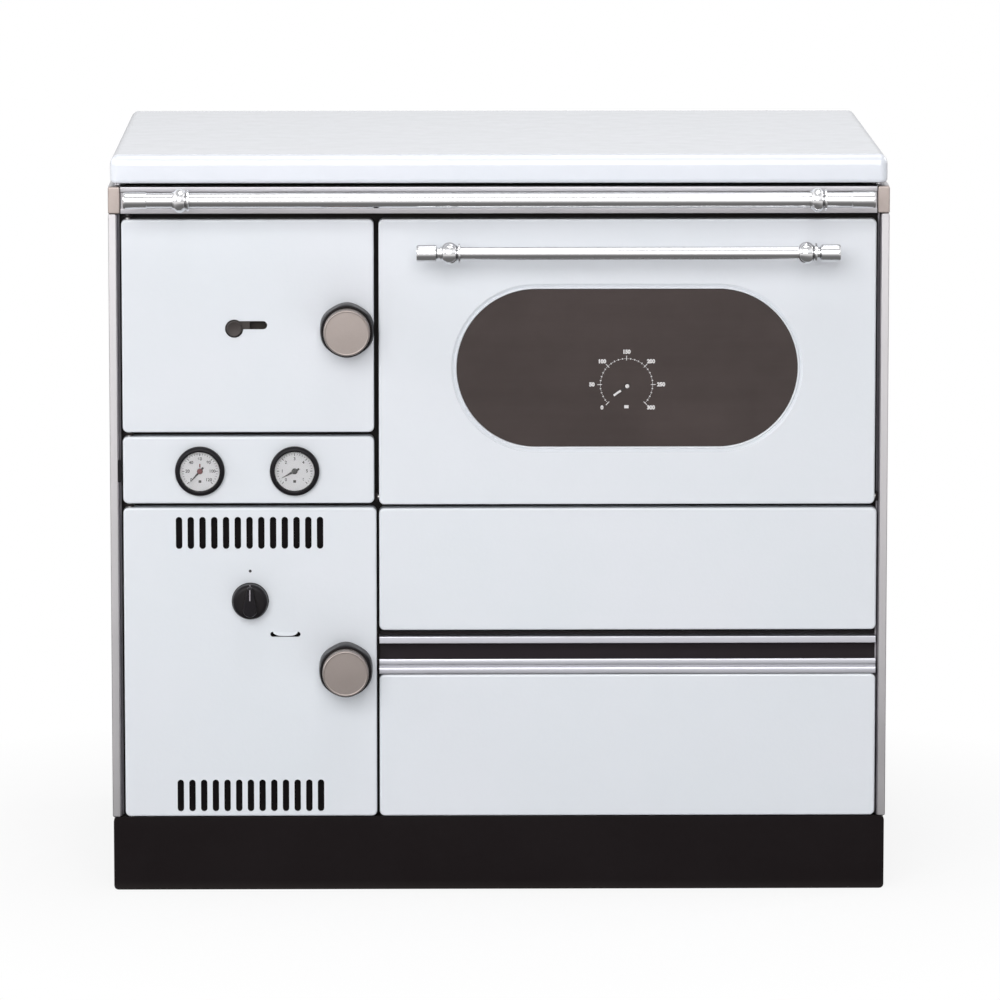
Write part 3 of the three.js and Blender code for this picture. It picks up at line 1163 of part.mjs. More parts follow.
// Flue collar through the back sheet, held by a flange inside it. It stands out at the back as
// far as the rail does at the front.
const flueEnd = BACK + RAIL_STAND_OFF + RAIL_BALL_HEIGHT / 2;
const flueFront = BACK_FRONT - SEAT_GAP - FLUE_SHEET;
piece('flue_collar', cut(
  joined(
    bar('y', FLUE_DIAMETER, flueFront, flueEnd, [FLUE_X, FLUE_Z]),
    bar('y', FLUE_DIAMETER + 2 * FLUE_FLANGE, flueFront, flueFront + FLUE_SHEET, [FLUE_X, FLUE_Z]),
  ),
  bar('y', FLUE_DIAMETER - 2 * FLUE_SHEET, flueFront - 1, flueEnd + 1, [FLUE_X, FLUE_Z]),
), castIron());

export default stove;
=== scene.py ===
import math
import bpy
import bmesh
from mathutils import Matrix, Vector


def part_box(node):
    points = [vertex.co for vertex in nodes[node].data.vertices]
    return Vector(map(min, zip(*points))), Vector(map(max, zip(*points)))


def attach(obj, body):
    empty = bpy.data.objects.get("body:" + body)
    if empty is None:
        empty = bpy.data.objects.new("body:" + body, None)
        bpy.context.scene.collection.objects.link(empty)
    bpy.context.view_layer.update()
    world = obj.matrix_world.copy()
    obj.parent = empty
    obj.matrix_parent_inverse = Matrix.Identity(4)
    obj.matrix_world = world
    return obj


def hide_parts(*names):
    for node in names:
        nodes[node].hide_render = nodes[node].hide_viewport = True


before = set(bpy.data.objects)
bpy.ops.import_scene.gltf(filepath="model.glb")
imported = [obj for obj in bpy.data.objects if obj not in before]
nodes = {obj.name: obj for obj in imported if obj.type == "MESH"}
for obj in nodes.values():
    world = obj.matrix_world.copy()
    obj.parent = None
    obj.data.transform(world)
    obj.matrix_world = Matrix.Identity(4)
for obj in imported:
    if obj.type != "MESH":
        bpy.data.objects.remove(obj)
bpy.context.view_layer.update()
scene = bpy.context.scene
scene.view_settings.view_transform = "Standard"

# ---- Camera ------------------------------------------------------------------------------
# The photograph looks a little down on the stove from well in front, a hand's width left of
# its middle, through a long lens.
front_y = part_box("firebox_door")[0].y
eye = Vector((-0.095, front_y - 7.83, 1.582))
target = Vector((0.001, front_y, 0.459))
camera = bpy.data.objects.new("camera", bpy.data.cameras.new("camera"))
camera.data.lens = 246
camera.data.sensor_width = 36
camera.location = eye
camera.rotation_euler = (target - eye).to_track_quat("-Z", "Y").to_euler()
scene.collection.objects.link(camera)
scene.camera = camera


# ---- Floor and light ---------------------------------------------------------------------
# A plain pale floor, white to the camera past the stove's shadow. To mirrors it shows a painted
# glow instead, dim beside the stove as painted shade and bright far off. Four soft lamps stand
# round the stove.
def new_material(name, slot=""):
    material = bpy.data.materials.new(name + "_finish")
    material.use_nodes = True
    material["slot"] = slot or name
    tree = material.node_tree
    return material, tree.nodes, tree.links, tree.nodes["Principled BSDF"]


def wired(links, *pairs):
    for outgoing, incoming in pairs:
        links.new(outgoing, incoming)


floor_mesh = bpy.data.meshes.new("floor")
half = 15
floor_mesh.from_pydata(
    [(-half, -half, 0), (half, -half, 0), (half, half, 0), (-half, half, 0)], [], [(0, 1, 2, 3)]
)
floor = bpy.data.objects.new("floor", floor_mesh)
scene.collection.objects.link(floor)
floor_finish, floor_nodes, floor_links, floor_shader = new_material("pale_floor")
floor_shader.inputs["Base Color"].default_value = (0.86, 0.86, 0.87, 1)
floor_shader.inputs["Roughness"].default_value = 0.9
white = floor_nodes.new("ShaderNodeEmission")
white.inputs["Strength"].default_value = 1.0
seen = floor_nodes.new("ShaderNodeLightPath")
distance = floor_nodes.new("ShaderNodeTexCoord")
away = floor_nodes.new("ShaderNodeVectorMath")
away.operation = "LENGTH"
fade = floor_nodes.new("ShaderNodeMapRange")
fade.inputs["From Min"].default_value = 0.5
fade.inputs["From Max"].default_value = 0.95
fade.inputs["To Min"].default_value = 0.87
direct = floor_nodes.new("ShaderNodeMath")
direct.operation = "MAXIMUM"
amount = floor_nodes.new("ShaderNodeMath")
amount.operation = "MULTIPLY"
mixed = floor_nodes.new("ShaderNodeMixShader")
# What mirrors see is an emission, not the lit floor: a painted glow, dim near the stove as its
# shade and bright far off.
mirror_glow = floor_nodes.new("ShaderNodeEmission")
mirror_glow.inputs["Color"].default_value = (1, 0.985, 0.98, 1)
mirror_mix = floor_nodes.new("ShaderNodeMixShader")
far = floor_nodes.new("ShaderNodeMapRange")
far.interpolation_type = "SMOOTHSTEP"
far.inputs["From Min"].default_value = 0.9
far.inputs["From Max"].default_value = 4.0
far.inputs["To Min"].default_value = 0.17
far.inputs["To Max"].default_value = 0.92
wired(
    floor_links,
    (distance.outputs["Object"], away.inputs[0]),
    (away.outputs["Value"], fade.inputs["Value"]),
    (seen.outputs["Is Camera Ray"], direct.inputs[0]),
    (seen.outputs["Is Transmission Ray"], direct.inputs[1]),
    (away.outputs["Value"], far.inputs["Value"]),
    (far.outputs["Result"], mirror_glow.inputs["Strength"]),
    (direct.outputs[0], amount.inputs[0]),
    (fade.outputs["Result"], amount.inputs[1]),
    (amount.outputs[0], mixed.inputs["Fac"]),
    (floor_shader.outputs[0], mixed.inputs[1]),
    (white.outputs[0], mixed.inputs[2]),
    (seen.outputs["Is Glossy Ray"], mirror_mix.inputs["Fac"]),
    (mixed.outputs[0], mirror_mix.inputs[1]),
    (mirror_glow.outputs[0], mirror_mix.inputs[2]),
    (mirror_mix.outputs[0], floor_nodes["Material Output"].inputs["Surface"]),
)
floor_mesh.materials.append(floor_finish)

# The world is white to the camera. It lights the stove evenly, and metal sees it fade from a
# bright horizon to a dimmer floor and ceiling, as in a room.
world = bpy.data.worlds.new("room")
scene.world = world
world.use_nodes = True
room_nodes, room_links = world.node_tree.nodes, world.node_tree.links
room = room_nodes["Background"]
room.inputs["Strength"].default_value = 0.62
clear = room_nodes.new("ShaderNodeBackground")
clear.inputs["Color"].default_value = (1, 1, 1, 1)
mirrored = room_nodes.new("ShaderNodeBackground")
ray = room_nodes.new("ShaderNodeLightPath")
heading = room_nodes.new("ShaderNodeTexCoord")
split = room_nodes.new("ShaderNodeSeparateXYZ")
height_ramp = room_nodes.new("ShaderNodeValToRGB")
ramp = height_ramp.color_ramp
ramp.elements[0].position, ramp.elements[0].color = 0.0, (0.16, 0.15, 0.15, 1)
ramp.elements[1].position, ramp.elements[1].color = 1.0, (0.55, 0.56, 0.58, 1)
for place, level in ((0.46, 0.3), (0.51, 0.62), (0.6, 1.1), (0.72, 1.25), (0.86, 0.7)):
    stop = ramp.elements.new(place)
    stop.color = (level, level, level * 1.01, 1)
upness = room_nodes.new("ShaderNodeMapRange")
upness.inputs["From Min"].default_value = -1
gloss_mix = room_nodes.new("ShaderNodeMixShader")
camera_mix = room_nodes.new("ShaderNodeMixShader")
wired(
    room_links,
    (heading.outputs["Generated"], split.inputs[0]),
    (split.outputs["Z"], upness.inputs["Value"]),
    (upness.outputs["Result"], height_ramp.inputs["Fac"]),
    (height_ramp.outputs["Color"], mirrored.inputs["Color"]),
    (ray.outputs["Is Glossy Ray"], gloss_mix.inputs["Fac"]),
    (room.outputs[0], gloss_mix.inputs[1]),
    (mirrored.outputs[0], gloss_mix.inputs[2]),
    (ray.outputs["Is Camera Ray"], camera_mix.inputs["Fac"]),
    (gloss_mix.outputs[0], camera_mix.inputs[1]),
    (clear.outputs[0], camera_mix.inputs[2]),
    (camera_mix.outputs[0], room_nodes["World Output"].inputs["Surface"]),
)


def soft_lamp(name, place, size, power, aim=(0, 0, 0.45)):
    lamp = bpy.data.objects.new(name, bpy.data.lights.new(name, "AREA"))
    lamp.data.shape = "RECTANGLE"
    lamp.data.size, lamp.data.size_y = size
    lamp.data.energy = power
    lamp.location = place
    lamp.rotation_euler = (Vector(aim) - Vector(place)).to_track_quat("-Z", "Y").to_euler()
    scene.collection.objects.link(lamp)


soft_lamp("front_lamp", (-0.9, -4.8, 2.5), (4.6, 3.2), 196)
soft_lamp("top_lamp", (0.3, -0.4, 3.6), (2.6, 2.0), 44)
soft_lamp("left_lamp", (-4.2, -0.6, 2.0), (2.0, 2.4), 50)
soft_lamp("right_lamp", (4.0, 1.6, 2.2), (2.2, 2.4), 45)

# ---- Enamel: the finish of the lid, the sides and every front panel -----------------------
# Cool white vitreous enamel, fired on pressed sheet steel: glossy, with a faint orange-peel
# ripple and clouding.
def new_skin(name, **inputs):
    """A node group with these inputs and defaults that gives Color, Roughness and Height."""
    group = bpy.data.node_groups.new(name, "ShaderNodeTree")
    kinds = {1: "NodeSocketFloat", 3: "NodeSocketVector", 4: "NodeSocketColor"}
    for label, default in inputs.items():
        size = len(default) if isinstance(default, tuple) else 1
        made = group.interface.new_socket(name=label, in_out="INPUT", socket_type=kinds[size])
        made.default_value = default
    for label, size in (("Color", 4), ("Roughness", 1), ("Height", 1)):
        group.interface.new_socket(name=label, in_out="OUTPUT", socket_type=kinds[size])
    return group, group.nodes.new("NodeGroupInput"), group.nodes.new("NodeGroupOutput")


def math_node(tree, operation, *values, clamp=False):
    made = tree.nodes.new("ShaderNodeMath")
    made.operation, made.use_clamp = operation, clamp
    for place, value in enumerate(values):
        if isinstance(value, (int, float)):
            made.inputs[place].default_value = value
        else:
            tree.links.new(value, made.inputs[place])
    return made.outputs[0]


def noise(tree, scale, detail=3.0, roughness=0.5, coordinates=None):
    made = tree.nodes.new("ShaderNodeTexNoise")
    made.inputs["Scale"].default_value = scale
    made.inputs["Detail"].default_value = detail
    made.inputs["Roughness"].default_value = roughness
    if coordinates is None:
        coordinates = tree.nodes.new("ShaderNodeTexCoord").outputs["Object"]
    tree.links.new(coordinates, made.inputs["Vector"])
    return made.outputs["Fac"]


def mix_colour(tree, factor, first, second):
    made = tree.nodes.new("ShaderNodeMix")
    made.data_type = "RGBA"
    for name, value in (("Factor", factor), ("A", first), ("B", second)):
        place = [s for s in made.inputs if s.name == name and s.enabled][0]
        if isinstance(value, (int, float, tuple)):
            place.default_value = value
        else:
            tree.links.new(value, place)
    return [s for s in made.outputs if s.enabled][0]


def enamel_skin():
    group, given, result = new_skin(
        "enamel_skin", Coat=(0.8, 0.82, 0.86, 1), Cloud=(0.75, 0.78, 0.84, 1), Roughness=0.2
    )
    mask = math_node(group, "MULTIPLY_ADD", noise(group, 5.0, 4.0, 0.55), 2.2, -0.6, clamp=True)
    clouded = mix_colour(group, mask, given.outputs["Coat"], given.outputs["Cloud"])
    flow = noise(group, 38.0, 2.0)
    total = math_node(group, "ADD", math_node(group, "MULTIPLY", flow, 0.1),
                      given.outputs["Roughness"])
    peel = noise(group, 240.0, 1.0)
    height = math_node(group, "ADD", peel, math_node(group, "MULTIPLY", flow, 3.0))
    wired(
        group.links,
        (clouded, result.inputs["Color"]),
        (total, result.inputs["Roughness"]),
        (height, result.inputs["Height"]),
    )
    return group


def bumped(tree, height, strength, depth):
    bump = tree.nodes.new("ShaderNodeBump")
    bump.inputs["Strength"].default_value = strength
    bump.inputs["Distance"].default_value = depth
    tree.links.new(height, bump.inputs["Height"])
    tree.links.new(bump.outputs[0], tree.nodes["Principled BSDF"].inputs["Normal"])


def placed(material, group, **values):
    """The group as a node of the material, feeding its shader's sockets of the same names."""
    tree = material.node_tree
    node = tree.nodes.new("ShaderNodeGroup")
    node.node_tree = group
    for name, value in values.items():
        node.inputs[name].default_value = value
    shader = tree.nodes["Principled BSDF"]
    for output in node.outputs:
        if output.name == "Color":
            tree.links.new(output, shader.inputs["Base Color"])
        elif output.name == "Roughness":
            tree.links.new(output, shader.inputs["Roughness"])
    return node


enamel_group = enamel_skin()


def enamelled(name, coat, cloud, ripple=0.12):
    material, _, _, shader = new_material(name, "white_enamel")
    skin = placed(material, enamel_group, Coat=(*coat, 1), Cloud=(*cloud, 1), Roughness=0.16)
    shader.inputs["Coat Weight"].default_value = 0.35
    shader.inputs["Coat Roughness"].default_value = 0.08
    bumped(material.node_tree, skin.outputs["Height"], ripple, 0.0006)
    return material


enamel = enamelled("white_enamel", (0.76, 0.78, 0.825), (0.735, 0.77, 0.81))
# The lid has a brighter copy of the same enamel, which paints more light on the lid than on the
# front panels.
brightened_lid_enamel = enamelled("brightened_lid_enamel", (0.825, 0.85, 0.915), (0.805, 0.84, 0.90), 0.04)


# ---- Pressed pans: the doors, the gauge panel, the cover and the drawer front -------------
# Each is a shallow tray of sheet steel with a rolled edge and small round corners, its rim
# turned back towards the frame. Holes are punched through the flat face.
MM = 0.001
pan_sheet = 2.5
pan_edge = 2.6
pan_corner = 6 * MM


def rounded_ring(low, high, inset, radius, steps=6):
    """Points round a rectangle in X and Z, drawn in by inset, with round corners."""
    radius = max(radius - inset, 0.4 * MM)
    left, right = low[0] + inset + radius, high[0] - inset - radius
    bottom, top = low[1] + inset + radius, high[1] - inset - radius
    points = []
    corners = ((right, bottom, -90), (right, top, 0), (left, top, 90), (left, bottom, 180))
    for x, z, start in corners:
        for step in range(steps + 1):
            angle = math.radians(start + 90 * step / steps)
            points.append((x + radius * math.cos(angle), z + radius * math.sin(angle)))
    return points


def skin_rings(bm, rings, ends="cap"):
    """Quads between rings of the same count, whose ends are capped or joined to each other."""
    made = [[bm.verts.new(point) for point in ring] for ring in rings]
    count = len(made[0])
    pairs = list(zip(made, made[1:]))
    if ends == "join":
        pairs.append((made[-1], made[0]))
    for first, second in pairs:
        for i in range(count):
            j = (i + 1) % count
            bm.faces.new((first[i], first[j], second[j], second[i]))
    if ends == "cap":
        bm.faces.new(list(reversed(made[0])))
        bm.faces.new(made[-1])


def plate(bm, low, high, corner, face, stations):
    """A round-cornered plate through stations of (inset, depth behind a face) in mm."""
    skin_rings(bm, [
        [(x, face + back * MM, z) for x, z in rounded_ring(low, high, inset * MM, corner)]
        for inset, back in stations
    ])


def shape_of(bm, name):
    bmesh.ops.remove_doubles(bm, verts=bm.verts, dist=1e-6)
    bmesh.ops.recalc_face_normals(bm, faces=bm.faces)
    mesh = bpy.data.meshes.new(name)
    bm.to_mesh(mesh)
    bm.free()
    return mesh


def punched(mesh, cutters):
    """The mesh with every cutter mesh taken out of it."""
    body = bpy.data.objects.new("body", mesh)
    scene.collection.objects.link(body)
    tools = []
    for tool_mesh in cutters:
        tool = bpy.data.objects.new("tool", tool_mesh)
        scene.collection.objects.link(tool)
        tools.append(tool)
        step = body.modifiers.new("punch", "BOOLEAN")
        step.operation, step.solver, step.object = "DIFFERENCE", "EXACT", tool
    bpy.context.view_layer.update()
    graph = bpy.context.evaluated_depsgraph_get()
    result = bpy.data.meshes.new_from_object(body.evaluated_get(graph))
    for spare in [body] + tools:
        bpy.data.objects.remove(spare)
    return result


def softened(piece, bevel):
    """Rounded edges, where a bevel is given, and shading that keeps the flats flat."""
    if bevel:
        round_off = piece.modifiers.new("soft_edge", "BEVEL")
        round_off.width = bevel
        round_off.segments = 2
        round_off.limit_method = "ANGLE"
        round_off.angle_limit = math.radians(50)
        round_off.harden_normals = True
    even = piece.modifiers.new("even_shading", "WEIGHTED_NORMAL")
    even.keep_sharp = True


def finished(name, mesh, material, body, replaced=(), bevel=0.0, angle=35):
    """A piece of the stove: smooth, softened on its edges, riding on its body."""
    mesh.polygons.foreach_set("use_smooth", [True] * len(mesh.polygons))
    mesh.set_sharp_from_angle(angle=math.radians(angle))
    mesh.update()
    piece = bpy.data.objects.new(name, mesh)
    scene.collection.objects.link(piece)
    mesh.materials.clear()
    mesh.materials.append(material)
    softened(piece, bevel)
    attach(piece, body)
    if replaced:
        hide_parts(*replaced)


def pressed_pan(name, node):
    """A pan in the place of a CAD node, with its rolled edge and turned-back rim."""
    low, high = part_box(node)
    depth, steps = 20, 6
    outline = []
    for step in range(steps + 1):
        angle = math.pi / 2 * step / steps
        outline.append((pan_edge * (1 - math.sin(angle)), pan_edge * (1 - math.cos(angle))))
    outline += [(0, depth), (pan_sheet, depth), (pan_sheet, pan_edge), (pan_edge, pan_sheet)]
    bm = bmesh.new()
    plate(bm, (low.x, low.z), (high.x, high.z), pan_corner, low.y, outline)
    return shape_of(bm, name)


def cutter(ring):
    """A tool that goes right through a pan's face, on an outline in X and Z."""
    bm = bmesh.new()
    skin_rings(bm, [[(x, front_y + y * MM, z) for x, z in ring] for y in (-10, 4)])
    return shape_of(bm, "cutter")


def round_cutter(x, z, diameter, facets=48):
    turns = [2 * math.pi * i / facets for i in range(facets)]
    return cutter([(x + diameter / 2 * math.cos(turn), z + diameter / 2 * math.sin(turn))
                   for turn in turns])


def slot_cutter(x, z, width, height):
    corner = min(width, height) / 2 - 1e-5
    low, high = (x - width / 2, z - height / 2), (x + width / 2, z + height / 2)
    return cutter(rounded_ring(low, high, 0, corner, 8))


# ---- Firebox door ------------------------------------------------------------------------
# The upper left pan, with the keyhole for the air slider punched near its middle. Its knob's
# base stands on the enamel near the right edge.
def middle(node):
    low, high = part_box(node)
    return (low + high) / 2


slot_rise = 4 * MM
washer_half = 9 * MM
slider_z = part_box("air_slider")[1].z - washer_half - slot_rise
slider_place = Vector((middle("air_slider").x, front_y, slider_z))
keyhole_diameter = 21 * MM
slot_height = 9.5 * MM
slot_end = 38 * MM
keyhole = [
    round_cutter(slider_place.x, slider_place.z, keyhole_diameter),
    slot_cutter(slider_place.x + slot_end / 2, slider_place.z + slot_rise, slot_end, slot_height),
]
door = punched(pressed_pan("firebox_pan", "firebox_door"), keyhole)
finished("firebox_pan", door, enamel, "firebox_door", ["firebox_door"], 0.5 * MM)

# ---- Gauge panel -------------------------------------------------------------------------
# The narrow fixed pan between the two left doors, with two round holes that the gauges sit in.
gauge_hole = 51 * MM
gauges = [middle("thermometer_case"), middle("manometer_case")]
panel_holes = [round_cutter(place.x, place.z, gauge_hole) for place in gauges]
panel = punched(pressed_pan("gauge_pan", "gauge_panel"), panel_holes)
finished("gauge_pan", panel, enamel, "stove", ["gauge_panel"], 0.4 * MM)

# ---- Ash door ----------------------------------------------------------------------------
# The tall lower left pan. Two rows of thirteen upright slots let air in at the top and bottom,
# and a pressed louvre with a curled lip sits right of the thermostat.
ash_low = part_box("ash_door")[0]
slots_x = ash_low.x + 146 * MM
slot_width = 7.4 * MM
slot_length = 37.5 * MM
slot_pitch = 13.6 * MM
slot_rows = (ash_low.z + 333.5 * MM, ash_low.z + 24.5 * MM)
slot_tools = [
    slot_cutter(slots_x + i * slot_pitch, z, slot_width, slot_length)
    for z in slot_rows
    for i in range(-6, 7)
]
louvre = (ash_low.x + 187 * MM, ash_low.z + 214.5 * MM)
louvre_width = 35 * MM
louvre_height = 6 * MM
slot_tools.append(slot_cutter(*louvre, louvre_width, louvre_height))
ash_pan = punched(pressed_pan("ash_pan_face", "ash_door"), slot_tools)
finished("ash_door_pan", ash_pan, enamel, "ash_door", ["ash_door"], 0.5 * MM)

# ---- Oven door ---------------------------------------------------------------------------
# The wide upper right pan with a window whose ends are half circles. A pressed bead runs round
# the window and turns in to the glass.
glass_low, glass_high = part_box("oven_glass")
window_overlap = 7 * MM
window_low = (glass_low.x + window_overlap, glass_low.z + window_overlap)
window_high = (glass_high.x - window_overlap, glass_high.z - window_overlap)
window_radius = (window_high[1] - window_low[1]) / 2
bead = 6.2


def window_ring(grow):
    """Points in X and Z round the window, grown outward by some millimetres."""
    grow *= MM
    low = (window_low[0] - grow, window_low[1] - grow)
    high = (window_high[0] + grow, window_high[1] + grow)
    return rounded_ring(low, high, 0, window_radius + grow - 0.01 * MM, 28)


oven_pan = punched(pressed_pan("oven_pan", "oven_door"), [cutter(window_ring(bead))])
finished("oven_door_pan", oven_pan, enamel, "oven_door", ["oven_door"])
bead_profile = (
    (bead, 0), (5.8, 0.15), (3.2, 2.0), (2.8, 2.0), (2.3, 1.0), (1.7, 0.5), (1.1, 0.4), (0.5, 0.7),
    (0.1, 1.5), (0, 2.6), (0.6, 2.75), (bead, 2.5),
)
bm = bmesh.new()
skin_rings(bm, [[(x, front_y + back * MM, z) for x, z in window_ring(grow)]
                for grow, back in bead_profile], "join")
finished("window_bead", shape_of(bm, "window_bead"), enamel, "oven_door", angle=60)

# ---- Soot cover and drawer front ---------------------------------------------------------
# Two plain pans below the oven door: the cover lifts off its hooks, and the lower one is the
# face of the fuel drawer.
cover = pressed_pan("soot_cover_pan", "soot_cover")
finished("soot_cover_pan", cover, enamel, "soot_cover", ["soot_cover"])
drawer_face = pressed_pan("drawer_pan", "drawer_front")
finished("drawer_pan", drawer_face, enamel, "drawer", ["drawer_front"])

# ---- Lid ---------------------------------------------------------------------------------
# A deep enamelled tray turned over the hob: flat on top, with broad soft edges and small round
# corners, hollow underneath, and notched at the back for its two hinge lugs.
lid_low, lid_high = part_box("lid")
lid_edge = 10 * MM
lid_edge_fall = 13 * MM
lid_lower_edge = 5 * MM
lid_side = 2.4 * MM
lid_corner = 9 * MM
lid_roof = 3 * MM
lid_corners = ((lid_low.x + lid_side, lid_low.y), (lid_high.x - lid_side, lid_high.y))
quarter = [math.pi / 2 * step / 8 for step in range(9)]
lid_outline = [
    (lid_edge + 0.5 * MM, lid_high.z),
    *((lid_edge * (1 - math.sin(angle)), lid_high.z - lid_edge_fall * (1 - math.cos(angle)))
      for angle in quarter),
    *(((lid_lower_edge - 1 * MM) * (1 - math.cos(angle)),
       lid_low.z + lid_lower_edge * (1 - math.sin(angle))) for angle in quarter),
    (lid_lower_edge + 1 * MM, lid_low.z),
    (lid_lower_edge + 1 * MM, lid_high.z - lid_roof - 2 * MM),
    (lid_lower_edge + 5 * MM, lid_high.z - lid_roof),
]
bm = bmesh.new()
skin_rings(bm, [[(x, y, height) for x, y in rounded_ring(*lid_corners, inset, lid_corner)]
                for inset, height in lid_outline])
lid_mesh = shape_of(bm, "lid_shell")
lug_x = 400 * MM
notch_half = 10 * MM
notch_tools = []
for x in (-lug_x, lug_x):
    bm = bmesh.new()
    bmesh.ops.create_cube(bm, size=1)
    for vertex in bm.verts:
        vertex.co.x = x + vertex.co.x * 2 * notch_half
        vertex.co.y = lid_high.y - 10 * MM + vertex.co.y * 24 * MM
        vertex.co.z = lid_low.z + 6 * MM + vertex.co.z * 21 * MM
    notch_tools.append(shape_of(bm, "notch"))
finished("lid_shell", punched(lid_mesh, notch_tools), brightened_lid_enamel, "lid", ["lid"])

# ---- Casing sides ------------------------------------------------------------------------
# Flat enamelled sheets, closed at the front by the brushed corner strips. They keep their CAD
# shapes, as do the other plain and hidden pieces.
def dress(node, material, bevel):
    """A CAD node kept as it is, with its facets joined, its edges softened and its finish."""
    piece = nodes[node]
    mesh = piece.data
    mesh.polygons.foreach_set("use_smooth", [True] * len(mesh.polygons))
    weld = piece.modifiers.new("weld", "WELD")
    weld.merge_threshold = 0.01 * MM
    flat = piece.modifiers.new("flat_faces", "DECIMATE")
    flat.decimate_type = "DISSOLVE"
    flat.angle_limit = math.radians(1)
    softened(piece, bevel)
    mesh.materials.clear()
    mesh.materials.append(material)


for side in ("left", "right"):
    dress("side_panel_" + side, enamel, 0.8 * MM)

# ---- Metals: the finishes of the bright, dark and cast pieces -----------------------------
# One skin serves them all: a tint with fine streaks drawn out along one axis, a slow stain, and
# painted shade that darkens the corners. Each metal sets its own grain and gloss.
def metal_skin():
    group, given, result = new_skin(
        "metal_skin", Tint=(0.8, 0.8, 0.8, 1), Stain=(0.6, 0.6, 0.6, 1), Grain=(1.0, 1.0, 1.0),
        Streak=0.3, Roughness=0.3
    )
    stretched = group.nodes.new("ShaderNodeVectorMath")
    stretched.operation = "MULTIPLY"
    place = group.nodes.new("ShaderNodeTexCoord").outputs["Object"]
    wired(group.links, (place, stretched.inputs[0]), (given.outputs["Grain"], stretched.inputs[1]))
    streaks = noise(group, 1.0, 4.0, 0.65, stretched.outputs[0])
    stained = math_node(group, "MULTIPLY_ADD", noise(group, 9.0, 4.0, 0.6), 2.4, -0.9, clamp=True)
    drawn = math_node(group, "MULTIPLY", streaks, given.outputs["Streak"])
    amount = math_node(group, "ADD", math_node(group, "MULTIPLY", stained, 0.4), drawn, clamp=True)
    coloured = mix_colour(group, amount, given.outputs["Tint"], given.outputs["Stain"])
    # Painted shade: the colour turns dark brown where ambient occlusion finds surfaces close by.
    corner = group.nodes.new("ShaderNodeAmbientOcclusion")
    corner.samples = 4
    corner.inputs["Distance"].default_value = 0.012
    occluded = math_node(group, "SUBTRACT", 1.0, corner.outputs["AO"])
    corner_shade = math_node(group, "MULTIPLY", occluded, 0.45)
    total = math_node(group, "ADD", math_node(group, "MULTIPLY", amount, 0.25),
                      given.outputs["Roughness"])
    wired(
        group.links,
        (mix_colour(group, corner_shade, coloured, (0.05, 0.045, 0.04, 1)), result.inputs["Color"]),
        (total, result.inputs["Roughness"]),
        (streaks, result.inputs["Height"]),
    )
    return group


metal_group = metal_skin()


def metal(name, tint, stain, roughness, grain, streak=0.3, metallic=1.0, bump=0.05, slot=""):
    material, _, _, shader = new_material(name, slot)
    skin = placed(material, metal_group, Tint=(*tint, 1), Stain=(*stain, 1), Grain=grain,
                  Streak=streak, Roughness=roughness)
    shader.inputs["Metallic"].default_value = metallic
    if not metallic:
        shader.inputs["Specular IOR Level"].default_value = 0.12
    bumped(material.node_tree, skin.outputs["Height"], bump, 0.0004)
    return material


chrome = metal("chrome", (0.83, 0.83, 0.84), (0.72, 0.72, 0.73), 0.07, (18, 18, 18), 0.15,
               bump=0.0)
frame_steel = metal("frame_steel", (0.43, 0.42, 0.44), (0.34, 0.33, 0.345), 0.24, (12, 400, 400))
brushed_strip = metal("brushed_strip", (0.60, 0.585, 0.60), (0.47, 0.455, 0.465), 0.3,
                      (900, 900, 9), 0.5)
cap_metal = metal("cap_metal", (0.42, 0.36, 0.335), (0.335, 0.285, 0.265), 0.38,
                  (300, 300, 300), 0.3, 0.7)
aluminium = metal("aluminium", (0.60, 0.60, 0.65), (0.48, 0.48, 0.52), 0.33, (7, 900, 900), 0.5)
black_steel = metal("black_steel", (0.0055, 0.003, 0.0036), (0.009, 0.006, 0.0068), 0.42,
                    (500, 500, 500), 0.4, 0.0, 0.15)
black_bakelite = metal("black_bakelite", (0.009, 0.008, 0.010), (0.016, 0.014, 0.016), 0.24,
                       (60, 60, 60), 0.3, 0.0, 0.04)
cast_iron = metal("cast_iron", (0.03, 0.027, 0.026), (0.055, 0.045, 0.04), 0.5,
                  (420, 420, 420), 0.8, 0.65, 0.5)
stainless = metal("stainless", (0.72, 0.71, 0.7), (0.58, 0.57, 0.56), 0.22, (900, 900, 60), 0.4,
                  slot="frame_steel")

# Sheet steel inside the stove: zinc-coated, with the spangle of the bath.
sheet_steel, sheet_nodes, sheet_links, sheet_shader = new_material("sheet_steel")
sheet_skin = placed(sheet_steel, metal_group, Stain=(0.22, 0.22, 0.22, 1), Grain=(80, 80, 80),
                    Streak=0.3, Roughness=0.42)
spangle = sheet_nodes.new("ShaderNodeTexVoronoi")
spangle.inputs["Scale"].default_value = 55.0
spangle_ramp = sheet_nodes.new("ShaderNodeValToRGB")
spangle_ramp.color_ramp.elements[0].color = (0.30, 0.305, 0.31, 1)
spangle_ramp.color_ramp.elements[1].color = (0.44, 0.445, 0.45, 1)
sheet_place = sheet_nodes.new("ShaderNodeTexCoord")
wired(
    sheet_links,
    (sheet_place.outputs["Object"], spangle.inputs["Vector"]),
    (spangle.outputs["Color"], spangle_ramp.inputs["Fac"]),
    (spangle_ramp.outputs["Color"], sheet_skin.inputs["Tint"]),
)
sheet_shader.inputs["Metallic"].default_value = 0.85

# ---- Plinth, trims, caps, hob frame and front frame ---------------------------------------
# The dark base, the brushed strips up the front corners with their metal caps, the bright
# grooved frame round the hob and the dark carcass front that shows in the gaps.
dress("plinth", black_steel, 1.5 * MM)
for side in ("left", "right"):
    dress("corner_trim_" + side, brushed_strip, 1.2 * MM)
    dress("corner_cap_" + side, cap_metal, 1.6 * MM)
dress("hob_frame", frame_steel, 0.6 * MM)
dress("front_frame", black_steel, 0.5 * MM)

